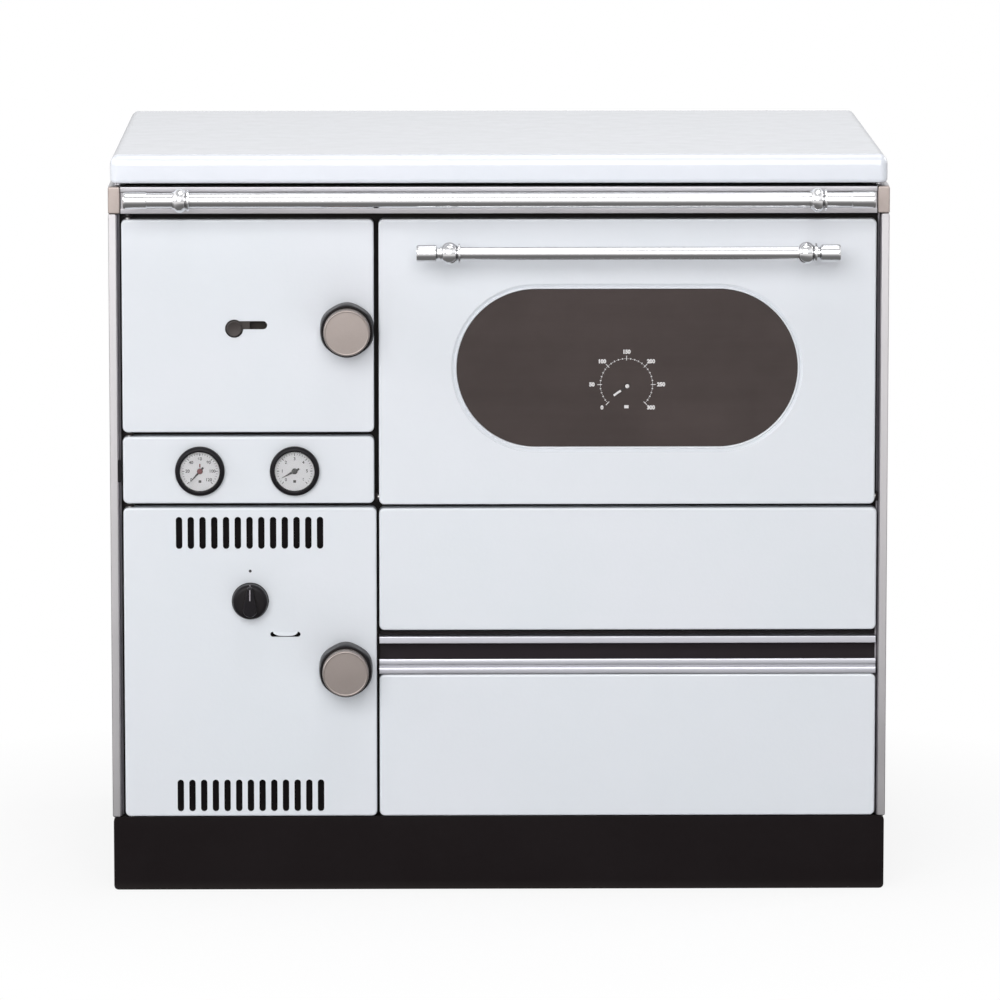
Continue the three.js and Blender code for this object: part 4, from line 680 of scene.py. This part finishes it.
# ---- Everything held inside or behind ----------------------------------------------------
# Cast iron where the fire is, spangled sheet round the oven, the drawer and the back.
for names, finish, bevel in (
    ("hob_plate hob_ring hob_ring_cap boiler grate soot_hatch", cast_iron, 0.9),
    ("firebox_liner oven_liner", cast_iron, 0.8),
    ("ash_liner", black_steel, 0.8),
    ("floor_pan back_panel drawer_box ash_pan oven_box air_flap", sheet_steel, 0.5),
    ("flue_collar", black_steel, 0.6),
    ("oven_rack", stainless, 0.8),
    ("left_hinge_rod oven_hinge_rod lid_hinge_rod", stainless, 0.6),
):
    for node in names.split():
        dress(node, finish, bevel * MM)

# ---- Turned pieces: the guard rail and its posts ------------------------------------------
# A chromed tube with sleeved ends runs through two balls, each with a collar on one side and
# a flanged stem that screws to the hob frame.
def turned(bm, profile, axis, place, facets=48, loop=False):
    """Rings of (radius, station) about an axis through a place; stations on y run forward."""
    rings = []
    for radius, along in profile:
        ring = []
        for i in range(facets):
            angle = 2 * math.pi * i / facets
            across, up = radius * math.cos(angle), radius * math.sin(angle)
            if axis == "x":
                ring.append((place[0] + along, place[1] + across, place[2] + up))
            else:
                ring.append((place[0] + across, place[1] - along, place[2] + up))
        rings.append(ring)
    skin_rings(bm, rings, "join" if loop else "cap")


def in_mm(*profile):
    return [(radius * MM, along * MM) for radius, along in profile]


def chrome_bar(node, name, body, *profile):
    """A bar along X, turned from (radius, distance from the end) of its left half."""
    low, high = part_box(node)
    half = (high.x - low.x) / 2 / MM
    left = [(radius, along - half) for radius, along in profile]
    right = [(radius, -along) for radius, along in reversed(left)]
    bm = bmesh.new()
    turned(bm, in_mm(*left, *right), "x", middle(node))
    finished(name, shape_of(bm, name), chrome, body, [node])


chrome_bar(
    "rail", "rail_tube", "stove", (5.5, 0), (8.4, 0.5), (9.3, 1.8), (9.5, 3), (9.5, 26), (9.2, 27),
    (8.7, 27.4), (8.7, 30),
)


def ball_posts(stem, name, axis, bore, width, height, face, body):
    """Two balls on an axis along X, each with a collar and a flanged stem back to a face."""
    half, tall, steps = width / 2, height / 2, 14
    ball_half = half - 0.8
    outline = []
    for step in range(steps + 1):
        along = ball_half * (2 * step / steps - 1)
        swell = math.sqrt(max(1 - (along / ball_half) ** 2, 0))
        outline.append((max(bore + 0.3, tall * swell ** 0.75), along - 0.8))
    reach = (face - axis.y) / MM
    for side in ("left", "right"):
        place = (middle(stem + side).x, axis.y, axis.z)
        bm = bmesh.new()
        turned(bm, in_mm((bore, -half), *outline, (bore, half)), "x", place, loop=True)
        turned(bm, in_mm(
            (bore, half - 2.4), (tall * 0.84, half - 2.4), (tall * 0.88, half - 2.0),
            (tall * 0.88, half - 0.5), (tall * 0.84, half), (bore, half),
        ), "x", place, loop=True)
        turned(bm, in_mm(
            (8.3, -reach + 0.2), (8.3, -reach + 1.6), (7.6, -reach + 2.4), (5.4, -reach + 3.2),
            (4.9, -reach + 5), (4.9, -tall - 1), (6.4, -tall + 1.5),
        ), "y", place, 32)
        finished(name + side, shape_of(bm, stem + side), chrome, body, [stem + side])


frame_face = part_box("hob_frame")[0].y + 3 * MM
ball_posts("rail_post_", "rail_ball_", middle("rail"), 9.55, 19, 28, frame_face, "stove")

# ---- Oven handle ------------------------------------------------------------------------
# A slimmer bar of the same make across the oven door, with thick capped ends past its balls.
chrome_bar(
    "oven_handle", "oven_handle_bar", "oven_door", (6.5, 0), (9.0, 0.5), (9.8, 1.6), (10, 3),
    (10, 21), (9.6, 22.6), (8.4, 23.6), (6.9, 24), (6.7, 25), (6.7, 29), (7.5, 30.5), (7.5, 34),
)
handle_axis = middle("oven_handle")
ball_posts("oven_handle_post_", "handle_ball_", handle_axis, 7.6, 23, 26, front_y, "oven_door")

# ---- Latch knobs --------------------------------------------------------------------------
# A black moulded base, softly six-sided at the door and round in front, holds a turned metal
# disc with a bright bevelled rim. A spindle runs through the door to a flat hook.
knob_metal = metal("knob_metal", (0.33, 0.285, 0.265), (0.27, 0.235, 0.22), 0.36, (400, 400, 400),
                   0.35, 0.8)
for part, body in (("firebox", "firebox_knob"), ("ash", "ash_knob")):
    back_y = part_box(part + "_knob")[1].y
    centre = (middle(part + "_knob").x, front_y, middle(part + "_knob_face").z)
    bm = bmesh.new()
    rings = []
    for radius, lobe, along in (
        (29, 0.01, 0.3), (30.6, 0.014, 0.5), (31.5, 0.016, 1.6), (31.6, 0.016, 4), (31.2, 0.014, 9),
        (30.8, 0.022, 13), (30.6, 0.015, 17), (30.2, 0.005, 20), (29.7, 0, 21.6), (28.7, 0, 22.2),
        (27.1, 0, 21.8), (27.0, 0, 18.6),
    ):
        ring = []
        for i in range(72):
            angle = 2 * math.pi * i / 72
            reach = radius * MM * (1 + lobe * math.cos(6 * (angle - math.pi / 2)))
            ring.append((centre[0] + reach * math.cos(angle), front_y - along * MM,
                         centre[2] + reach * math.sin(angle)))
        rings.append(ring)
    skin_rings(bm, rings)
    hook_back = (back_y - front_y) / MM
    turned(bm, in_mm((4.4, -hook_back), (5, -hook_back + 0.6), (5, 0.6)), "y", centre, 32)
    hook_foot = (centre[0] - 6 * MM, centre[2] - 6 * MM)
    hook_tip = (centre[0] + 6 * MM, centre[2] + 22 * MM)
    plate(bm, hook_foot, hook_tip, 4 * MM, back_y, ((0.8, 0), (0, -0.8), (0, -5.2), (0.8, -6)))
    finished(part + "_knob_base", shape_of(bm, "knob_base"), black_bakelite, body, [part + "_knob"])
    disc = [(26.6, 18.6), (26.8, 19), (26.8, 36.4), (26.6, 37.6), (26.2, 38.4), (25.6, 38.9),
            (25.1, 39.1), (24.7, 39.0), (24.4, 38.7)]
    for turn in range(21):
        disc.append((24 - turn * 1.1, 38.66 + 0.04 * (turn % 2) + 0.012 * turn))
    bm = bmesh.new()
    turned(bm, in_mm(*disc), "y", centre, 72)
    finished(part + "_knob_disc", shape_of(bm, "knob_disc"), knob_metal, body,
             [part + "_knob_face"], angle=50)

# ---- Air slider --------------------------------------------------------------------------
# A dished dark disc in the keyhole, on a pin with a washer plate behind the enamelled sheet.
slider_dark = metal("slider_dark", (0.035, 0.028, 0.027), (0.06, 0.05, 0.045), 0.5,
                    (600, 600, 600), 0.4, 0.3, slot="black_steel")
pin_place = (slider_place.x, front_y, slider_place.z + slot_rise)
bm = bmesh.new()
turned(bm, in_mm((8.6, 0.3), (9, 0.6), (9, 2.2), (8.5, 3), (7.9, 3.2), (6.5, 2.6), (3, 2.2),
                 (0.6, 2.1)), "y", slider_place)
turned(bm, in_mm((4, -3), (4, 0.4)), "y", pin_place, 24)
washer_low = (pin_place[0] - 2 * washer_half, pin_place[2] - washer_half)
washer_high = (pin_place[0] + 2 * washer_half, pin_place[2] + washer_half)
plate(bm, washer_low, washer_high, 3 * MM, front_y, ((0.3, 2.8), (0, 3.1), (0, 4.5), (0.3, 4.8)))
finished("air_slider_disc", shape_of(bm, "slider_disc"), slider_dark, "air_slider", ["air_slider"])

# ---- Gauges ------------------------------------------------------------------------------
# Black moulded cases with a rolled bezel, white dials printed with fine marks and figures,
# thin needles, and a clear lens. The left one has a red hub and a red mark over it.
def plain(name, slot, group, **values):
    """A finish that is one of the two skins in colours of its own, and its shader."""
    material, _, _, shader = new_material(name, slot)
    placed(material, group, **values)
    return material, shader


dial_white, _ = plain("dial_white", "needle_white", enamel_group, Coat=(0.80, 0.785, 0.80, 1),
                      Cloud=(0.77, 0.76, 0.78, 1), Roughness=0.45)
needle_black, _ = plain("needle_black", "black_bakelite", metal_group,
                        Tint=(0.01, 0.01, 0.012, 1), Stain=(0.02, 0.02, 0.02, 1), Roughness=0.4)
hub_red, _ = plain("hub_red", "black_bakelite", metal_group, Tint=(0.28, 0.03, 0.045, 1),
                   Stain=(0.36, 0.06, 0.07, 1), Roughness=0.45)
print_grey, _ = plain("print_grey", "black_bakelite", metal_group, Tint=(0.03, 0.027, 0.035, 1),
                      Stain=(0.05, 0.045, 0.055, 1), Roughness=0.6)
lens, lens_shader = plain("clear_lens", "", enamel_group, Coat=(1, 1, 1, 1),
                          Cloud=(0.97, 0.98, 0.98, 1), Roughness=0.0)
lens_shader.inputs["Transmission Weight"].default_value = 1.0
lens_shader.inputs["IOR"].default_value = 1.45


def strip(bm, centre, angle, inner, outer, width, front, thick=0.06 * MM):
    """A thin radial mark on a dial; the angle runs clockwise from straight up."""
    along = Vector((math.sin(angle), 0, math.cos(angle)))
    across = Vector((math.cos(angle), 0, -math.sin(angle))) * width / 2
    base = Vector((centre[0], front, centre[2]))
    corners = [base + along * inner - across, base + along * inner + across,
               base + along * outer + across, base + along * outer - across]
    skin_rings(bm, [[c - Vector((0, thick, 0)) for c in corners], corners])


def figure(bm, text, size, x, z, front, weight=0.0, thick=0.05 * MM):
    """A number set upright and facing the front, centred on a place."""
    curve = bpy.data.curves.new("figure", "FONT")
    curve.body, curve.size = text, size
    curve.align_x, curve.align_y = "CENTER", "CENTER"
    curve.extrude, curve.offset = thick / 2, weight
    holder = bpy.data.objects.new("figure", curve)
    scene.collection.objects.link(holder)
    graph = bpy.context.evaluated_depsgraph_get()
    mesh = bpy.data.meshes.new_from_object(holder.evaluated_get(graph))
    mesh.transform(Matrix.Translation((x, front, z)) @ Matrix.Rotation(math.pi / 2, 4, "X"))
    bm.from_mesh(mesh)
    bpy.data.objects.remove(holder)


gauge_turn = math.radians(135)
figure_ring = 14.3 * MM
for part, place, figures in (
    ("thermometer", gauges[0], ("0", "20", "40", "60", "80", "100", "120")),
    ("manometer", gauges[1], ("0", "1", "2", "3", "4", "5", "6")),
):
    place = (place.x, front_y, place.z)
    bm = bmesh.new()
    turned(bm, in_mm(
        (22.9, 2.0), (22.9, 6.9), (23.3, 7.6), (24.2, 8.0), (25.6, 7.9), (27.2, 7.2), (28.3, 5.9),
        (28.75, 4.2), (28.75, 0.9), (28.3, 0.3), (25, 0.3), (25, -23), (24, -24), (10, -24),
        (10, 1.7),
    ), "y", place, 64, loop=True)
    finished(part + "_bezel", shape_of(bm, "bezel"), black_bakelite, "stove", [part + "_case"])
    bm = bmesh.new()
    turned(bm, in_mm((23.4, 0.4), (23.4, 2.0)), "y", place, 64)
    finished(part + "_dial", shape_of(bm, "dial"), dial_white, "stove")
    bm = bmesh.new()
    dial_front = front_y - 2.0 * MM
    for i in range(31):
        major = i % 5 == 0
        angle = -gauge_turn + 2 * gauge_turn * i / 30
        strip(bm, place, angle, (17.8 if major else 18.9) * MM, 20.6 * MM,
              (0.8 if major else 0.45) * MM, dial_front)
    for i, text in enumerate(figures):
        angle = -gauge_turn + 2 * gauge_turn * i / (len(figures) - 1)
        figure(bm, text, 5.0 * MM, place[0] + figure_ring * math.sin(angle),
               place[2] + figure_ring * math.cos(angle), dial_front - 0.03 * MM, 0.12 * MM)
    strip(bm, place, math.pi, 10.5 * MM, 13.5 * MM, 3.2 * MM, dial_front)
    finished(part + "_print", shape_of(bm, "print"), print_grey, "stove")
    dress(part + "_needle", needle_black, 0.0)
    bm = bmesh.new()
    turned(bm, in_mm((2.9, 2.9), (3.1, 3.2), (3.1, 4.3), (2.5, 4.9), (0.6, 5.1)), "y", place, 32)
    hub_finish = hub_red if part == "thermometer" else needle_black
    finished(part + "_hub", shape_of(bm, "hub"), hub_finish, part + "_needle")
    bm = bmesh.new()
    turned(bm, in_mm((22.5, 5.4), (22.7, 5.6), (22.7, 6.8), (22.4, 7.0)), "y", place, 64)
    finished(part + "_glass", shape_of(bm, "gauge_glass"), lens, "stove", [part + "_lens"])
bm = bmesh.new()
strip(bm, gauges[0], 0.0, 4.4 * MM, 8.6 * MM, 1.5 * MM, dial_front)
finished("red_mark", shape_of(bm, "red_mark"), hub_red, "stove")

# ---- Thermostat knob ---------------------------------------------------------------------
# A black skirted knob with a raised teardrop grip and a worn grey index line, below a printed
# dot that it is set against. Beside it the louvre's curled lip bends out of its slot.
# A darker copy of the brushed strip's metal: painted shade on the corner strips' folded legs, and
# the grey of the thermostat's index line.
strip_shade_and_index = metal("strip_shade_and_index", (0.38, 0.355, 0.39), (0.46, 0.44, 0.47), 0.4, (900, 900, 12), 0.5,
                  slot="brushed_strip")
knob_place = (middle("thermostat_knob").x, front_y, middle("thermostat_knob").z)
knob_back = (front_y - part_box("thermostat_knob")[1].y) / MM
index_dot_z = 376.3 * MM
bm = bmesh.new()
turned(bm, in_mm(
    (20.6, 0.3), (21.5, 0.7), (21.5, 3.2), (20.9, 3.6), (20.4, 9.5), (19.6, 12.0), (18.0, 13.5),
    (15.5, 14.0), (1, 14.2),
), "y", knob_place, 72)
grip_rings = []
for grow, along in ((0, 11), (0, 20.5), (-0.7, 22.2), (-2.0, 23)):
    ring = []
    for i in range(25):
        angle = math.pi + math.pi * i / 24
        ring.append(((8.2 + grow) * math.cos(angle), -8.2 + (8.2 + grow) * math.sin(angle)))
    tip = 18.2 + grow
    ring += [(3.4 + grow * 0.5, tip - 1.2), (2.4 + grow * 0.5, tip), (-2.4 - grow * 0.5, tip),
             (-3.4 - grow * 0.5, tip - 1.2)]
    grip_rings.append([(knob_place[0] + x * MM, front_y - along * MM, knob_place[2] + z * MM)
                       for x, z in ring])
skin_rings(bm, grip_rings)
turned(bm, in_mm((4.6, knob_back), (5, knob_back + 0.5), (5, 0.6)), "y", knob_place, 24)
finished("thermostat_grip", shape_of(bm, "thermostat"), black_bakelite, "thermostat",
         ["thermostat_knob"], 0.3 * MM)
bm = bmesh.new()
strip(bm, knob_place, 0.0, 3 * MM, 16.0 * MM, 1.1 * MM, front_y - 22.95 * MM, 0.1 * MM)
strip(bm, knob_place, 0.0, 18.8 * MM, 20.2 * MM, 1.1 * MM, front_y - 13.2 * MM, 0.4 * MM)
finished("thermostat_index", shape_of(bm, "index"), strip_shade_and_index, "thermostat")
bm = bmesh.new()
turned(bm, in_mm((1.7, -0.2), (1.7, 0.12)), "y", (knob_place[0], front_y, index_dot_z), 24)
finished("index_dot", shape_of(bm, "dot"), print_grey, "ash_door")
bm = bmesh.new()
lip_rings = []
for i in range(17):
    across = (i - 8) / 8
    fall = 3.4 * across ** 4 - 1.9
    section = ((2, 3.4), (0.7, 3.3), (-0.5, 2.6), (-0.9, fall + 0.8), (-0.8, fall),
               (-0.3, fall - 0.1), (0.1, fall + 0.5), (0.5, 2.3), (2, 2.6))
    lip_rings.append([(louvre[0] + 14 * across * MM, front_y + y * MM, louvre[1] + z * MM)
                      for y, z in section])
skin_rings(bm, lip_rings)
finished("louvre_lip", shape_of(bm, "lip"), enamel, "ash_door")

# ---- Oven window and its printed dial ----------------------------------------------------
# Dark brown toughened glass behind the bead, faintly streaked, with a white scale of figures
# printed on it round a white hub, from which a dark arm carries a short white hand.
oven_pane, pane_shader = plain("oven_glass", "", metal_group, Tint=(0.036, 0.025, 0.023, 1),
                               Stain=(0.072, 0.053, 0.050, 1), Grain=(2.2, 40, 34), Streak=0.5,
                               Roughness=0.03)
pane_shader.inputs["Specular IOR Level"].default_value = 0.35
dress("oven_glass", oven_pane, 0.0)
print_white, _ = plain("print_white", "needle_white", enamel_group, Coat=(0.72, 0.70, 0.70, 1),
                       Cloud=(0.64, 0.62, 0.62, 1), Roughness=0.5)
scale_place = (middle("oven_dial_housing").x, front_y, middle("oven_dial_housing").z)
pane_front = glass_low.y - 0.02 * MM
bm = bmesh.new()
print_place = (scale_place[0] - 0.8 * MM, front_y, scale_place[2] + 1.6 * MM)
for i in range(90):
    first, second = (math.radians(-135 + 3 * (i + step)) for step in (0.1, 0.75))
    ring = [(radius * MM * math.sin(angle), radius * MM * math.cos(angle)) for radius, angle in (
        (30.0, first), (30.4, first), (30.4, second), (30.0, second))]
    skin_rings(bm, [
        [(print_place[0] + x, pane_front + y, print_place[2] + z) for x, z in ring]
        for y in (-0.06 * MM, 0)
    ])
for i in range(31):
    inner, outer, width = (28.2, 33.6, 0.8) if i % 5 == 0 else (29.4, 31.2, 1.0)
    angle = math.radians(-135 + 9 * i)
    strip(bm, print_place, angle, inner * MM, outer * MM, width * MM, pane_front)
for i in range(7):
    angle = math.radians(-135 + 45 * i)
    figure(bm, str(50 * i), 6.0 * MM, print_place[0] + 40 * MM * math.sin(angle),
           print_place[2] + 38 * MM * math.cos(angle), pane_front - 0.03 * MM, 0.4 * MM)
strip(bm, print_place, math.pi, 24 * MM, 27.6 * MM, 5 * MM, pane_front)
finished("oven_scale", shape_of(bm, "oven_scale"), print_white, "oven_door")
needle_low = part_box("oven_dial_needle")[0]
needle_aim = math.atan2(needle_low.x - scale_place[0], needle_low.z - scale_place[2])
needle_reach = math.hypot(needle_low.x - scale_place[0], needle_low.z - scale_place[2])
needle_back = needle_low.y + 0.35 * MM
bm = bmesh.new()
strip(bm, scale_place, needle_aim, 9 * MM, needle_reach, 2.4 * MM, needle_back, 0.3 * MM)
finished("oven_dial_hand", shape_of(bm, "hand"), print_white, "oven_dial_needle",
         ["oven_dial_needle"])
bm = bmesh.new()
strip(bm, scale_place, needle_aim, -4 * MM, 9.4 * MM, 0.9 * MM, needle_back, 0.25 * MM)
finished("oven_dial_arm", shape_of(bm, "arm"), needle_black, "oven_dial_needle")
bm = bmesh.new()
hub_front = (front_y - needle_low.y) / MM
turned(bm, in_mm((2.2, hub_front - 1), (2.4, hub_front + 0.1), (1.8, hub_front + 0.5),
                 (0.4, hub_front + 0.6)), "y", scale_place, 24)
finished("oven_dial_hub", shape_of(bm, "oven_dial_hub"), print_white, "oven_dial_needle")
dress("oven_dial_housing", black_steel, 0.6 * MM)

# ---- Grip channel and the drawer's grip strip --------------------------------------------
# A drawn aluminium lip over a hollow that fingers reach into, its inside painted near black as
# shade, and below it a stepped strip of the same metal along the drawer's top edge.
# Painted shade: the hollow's aluminium is coloured near black for the shade inside the recess.
recess_shade = metal("recess_shade", (0.03, 0.023, 0.028), (0.042, 0.034, 0.04), 0.55,
                    (5, 500, 500), 0.4, 0.0, slot="aluminium")
low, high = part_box("grip_channel")


def extruded(bm, outline, left, right, base):
    """A profile of (back, up) in millimetres drawn along X."""
    skin_rings(bm, [[(x, base[0] + back * MM, base[1] + up * MM) for back, up in outline]
                    for x in (left, right)])


bm = bmesh.new()
extruded(bm, [
    (0.5, -8.2), (0, -7.7), (0, -1.1), (0.3, -0.4), (0.9, 0), (21.7, 0), (21.7, -1.6), (3.2, -1.6),
    (2.6, -2.2), (2.6, -7.7), (2.1, -8.2),
], low.x, high.x, (low.y, high.z))
finished("grip_lip", shape_of(bm, "grip_lip"), aluminium, "stove", ["grip_channel"], 0.15 * MM)
bm = bmesh.new()
depth_back = (high.y - low.y) / MM
extruded(bm, [
    (depth_back, 3.2), (depth_back, -43), (depth_back - 2.4, -43), (depth_back - 2.4, -6),
    (depth_back - 4.4, -2.2), (5, -2.0), (5, -1.7), (depth_back - 2.4, -1.7),
    (depth_back - 2.4, 3.2),
], low.x + 0.3 * MM, high.x - 0.3 * MM, (low.y, high.z))
finished("grip_hollow", shape_of(bm, "grip_hollow"), recess_shade, "stove")
low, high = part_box("drawer_grip")
bm = bmesh.new()
extruded(bm, [
    (15.6, 0), (15.6, 2.4), (6.2, 2.4), (5.6, 3), (5.6, 16.9), (5.0, 17.6), (3.4, 17.8),
    (2.2, 17.4), (1.7, 16.4), (1.7, 11.6), (2.1, 10.9), (2.9, 10.5), (2.9, 8.6), (1.6, 8.0),
    (0.9, 7.2), (0.6, 5.8), (0.6, 1.2), (1.0, 0.4), (1.8, 0),
], low.x, high.x, (low.y, low.z))
finished("drawer_strip", shape_of(bm, "drawer_strip"), aluminium, "drawer", ["drawer_grip"],
         0.1 * MM)

# ---- Screws on the back ------------------------------------------------------------------
# Domed heads hold the back sheet along its edges; the top row stays below the raised lid.
low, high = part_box("back_panel")
edge = 13 * MM
bm = bmesh.new()
places = [(x * MM, z) for x in (-310, -105, 105, 310) for z in (low.z + edge, high.z - 5 * edge)]
places += [(x, low.z + (high.z - low.z) * part) for x in (low.x + edge, high.x - edge)
           for part in (0.25, 0.5, 0.75)]
for x, z in places:
    turned(bm, in_mm((5.4, 0.2), (5.4, -0.4), (3.9, -0.5), (3.8, -1.1), (2.9, -2.0), (1.2, -2.5),
                     (0.3, -2.5)), "y", (x, high.y, z), 24)
finished("back_screws", shape_of(bm, "back_screws"), stainless, "stove")

# ---- Inner legs of the corner strips ------------------------------------------------------
# Behind each brushed strip its folded leg shows as a line beside the doors, in a darker copy of the
# strip's metal that paints its shade. On the left two black plugs close its holes: a tall one level
# with the gauges and a small one lower down.
for side, sign in (("left", -1), ("right", 1)):
    low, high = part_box("corner_trim_" + side)
    inner = high.x if sign < 0 else low.x
    bm = bmesh.new()
    leg = [(0, 3.5), (0.4, 3.5), (0.8, 3.9), (1.6, 6.6), (1.6, 14.6), (3.2, 15.2), (3.2, 19),
           (2.4, 19), (2.4, 16), (0.8, 15.4), (0.8, 6.9), (0, 4.6)]
    skin_rings(bm, [[(inner - sign * x * MM, front_y + y * MM, z) for x, y in leg]
                    for z in (low.z + 1 * MM, high.z - 1 * MM)])
    finished("trim_leg_" + side, shape_of(bm, "trim_leg"), strip_shade_and_index, "stove")
low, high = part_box("corner_trim_left")
bm = bmesh.new()
for z, tall, reach, back in ((493, 26, 3.2, 2.4), (130, 7, 1.4, 6.4)):
    plug_low = (high.x - 0.5 * MM, (z - tall / 2) * MM)
    plug_high = (high.x + reach * MM, (z + tall / 2) * MM)
    plate(bm, plug_low, plug_high, 1.2 * MM, front_y,
          ((0.3, back), (0, back + 0.4), (0, back + 3.6)))
finished("pivot_plugs", shape_of(bm, "pivot_plugs"), black_bakelite, "stove")
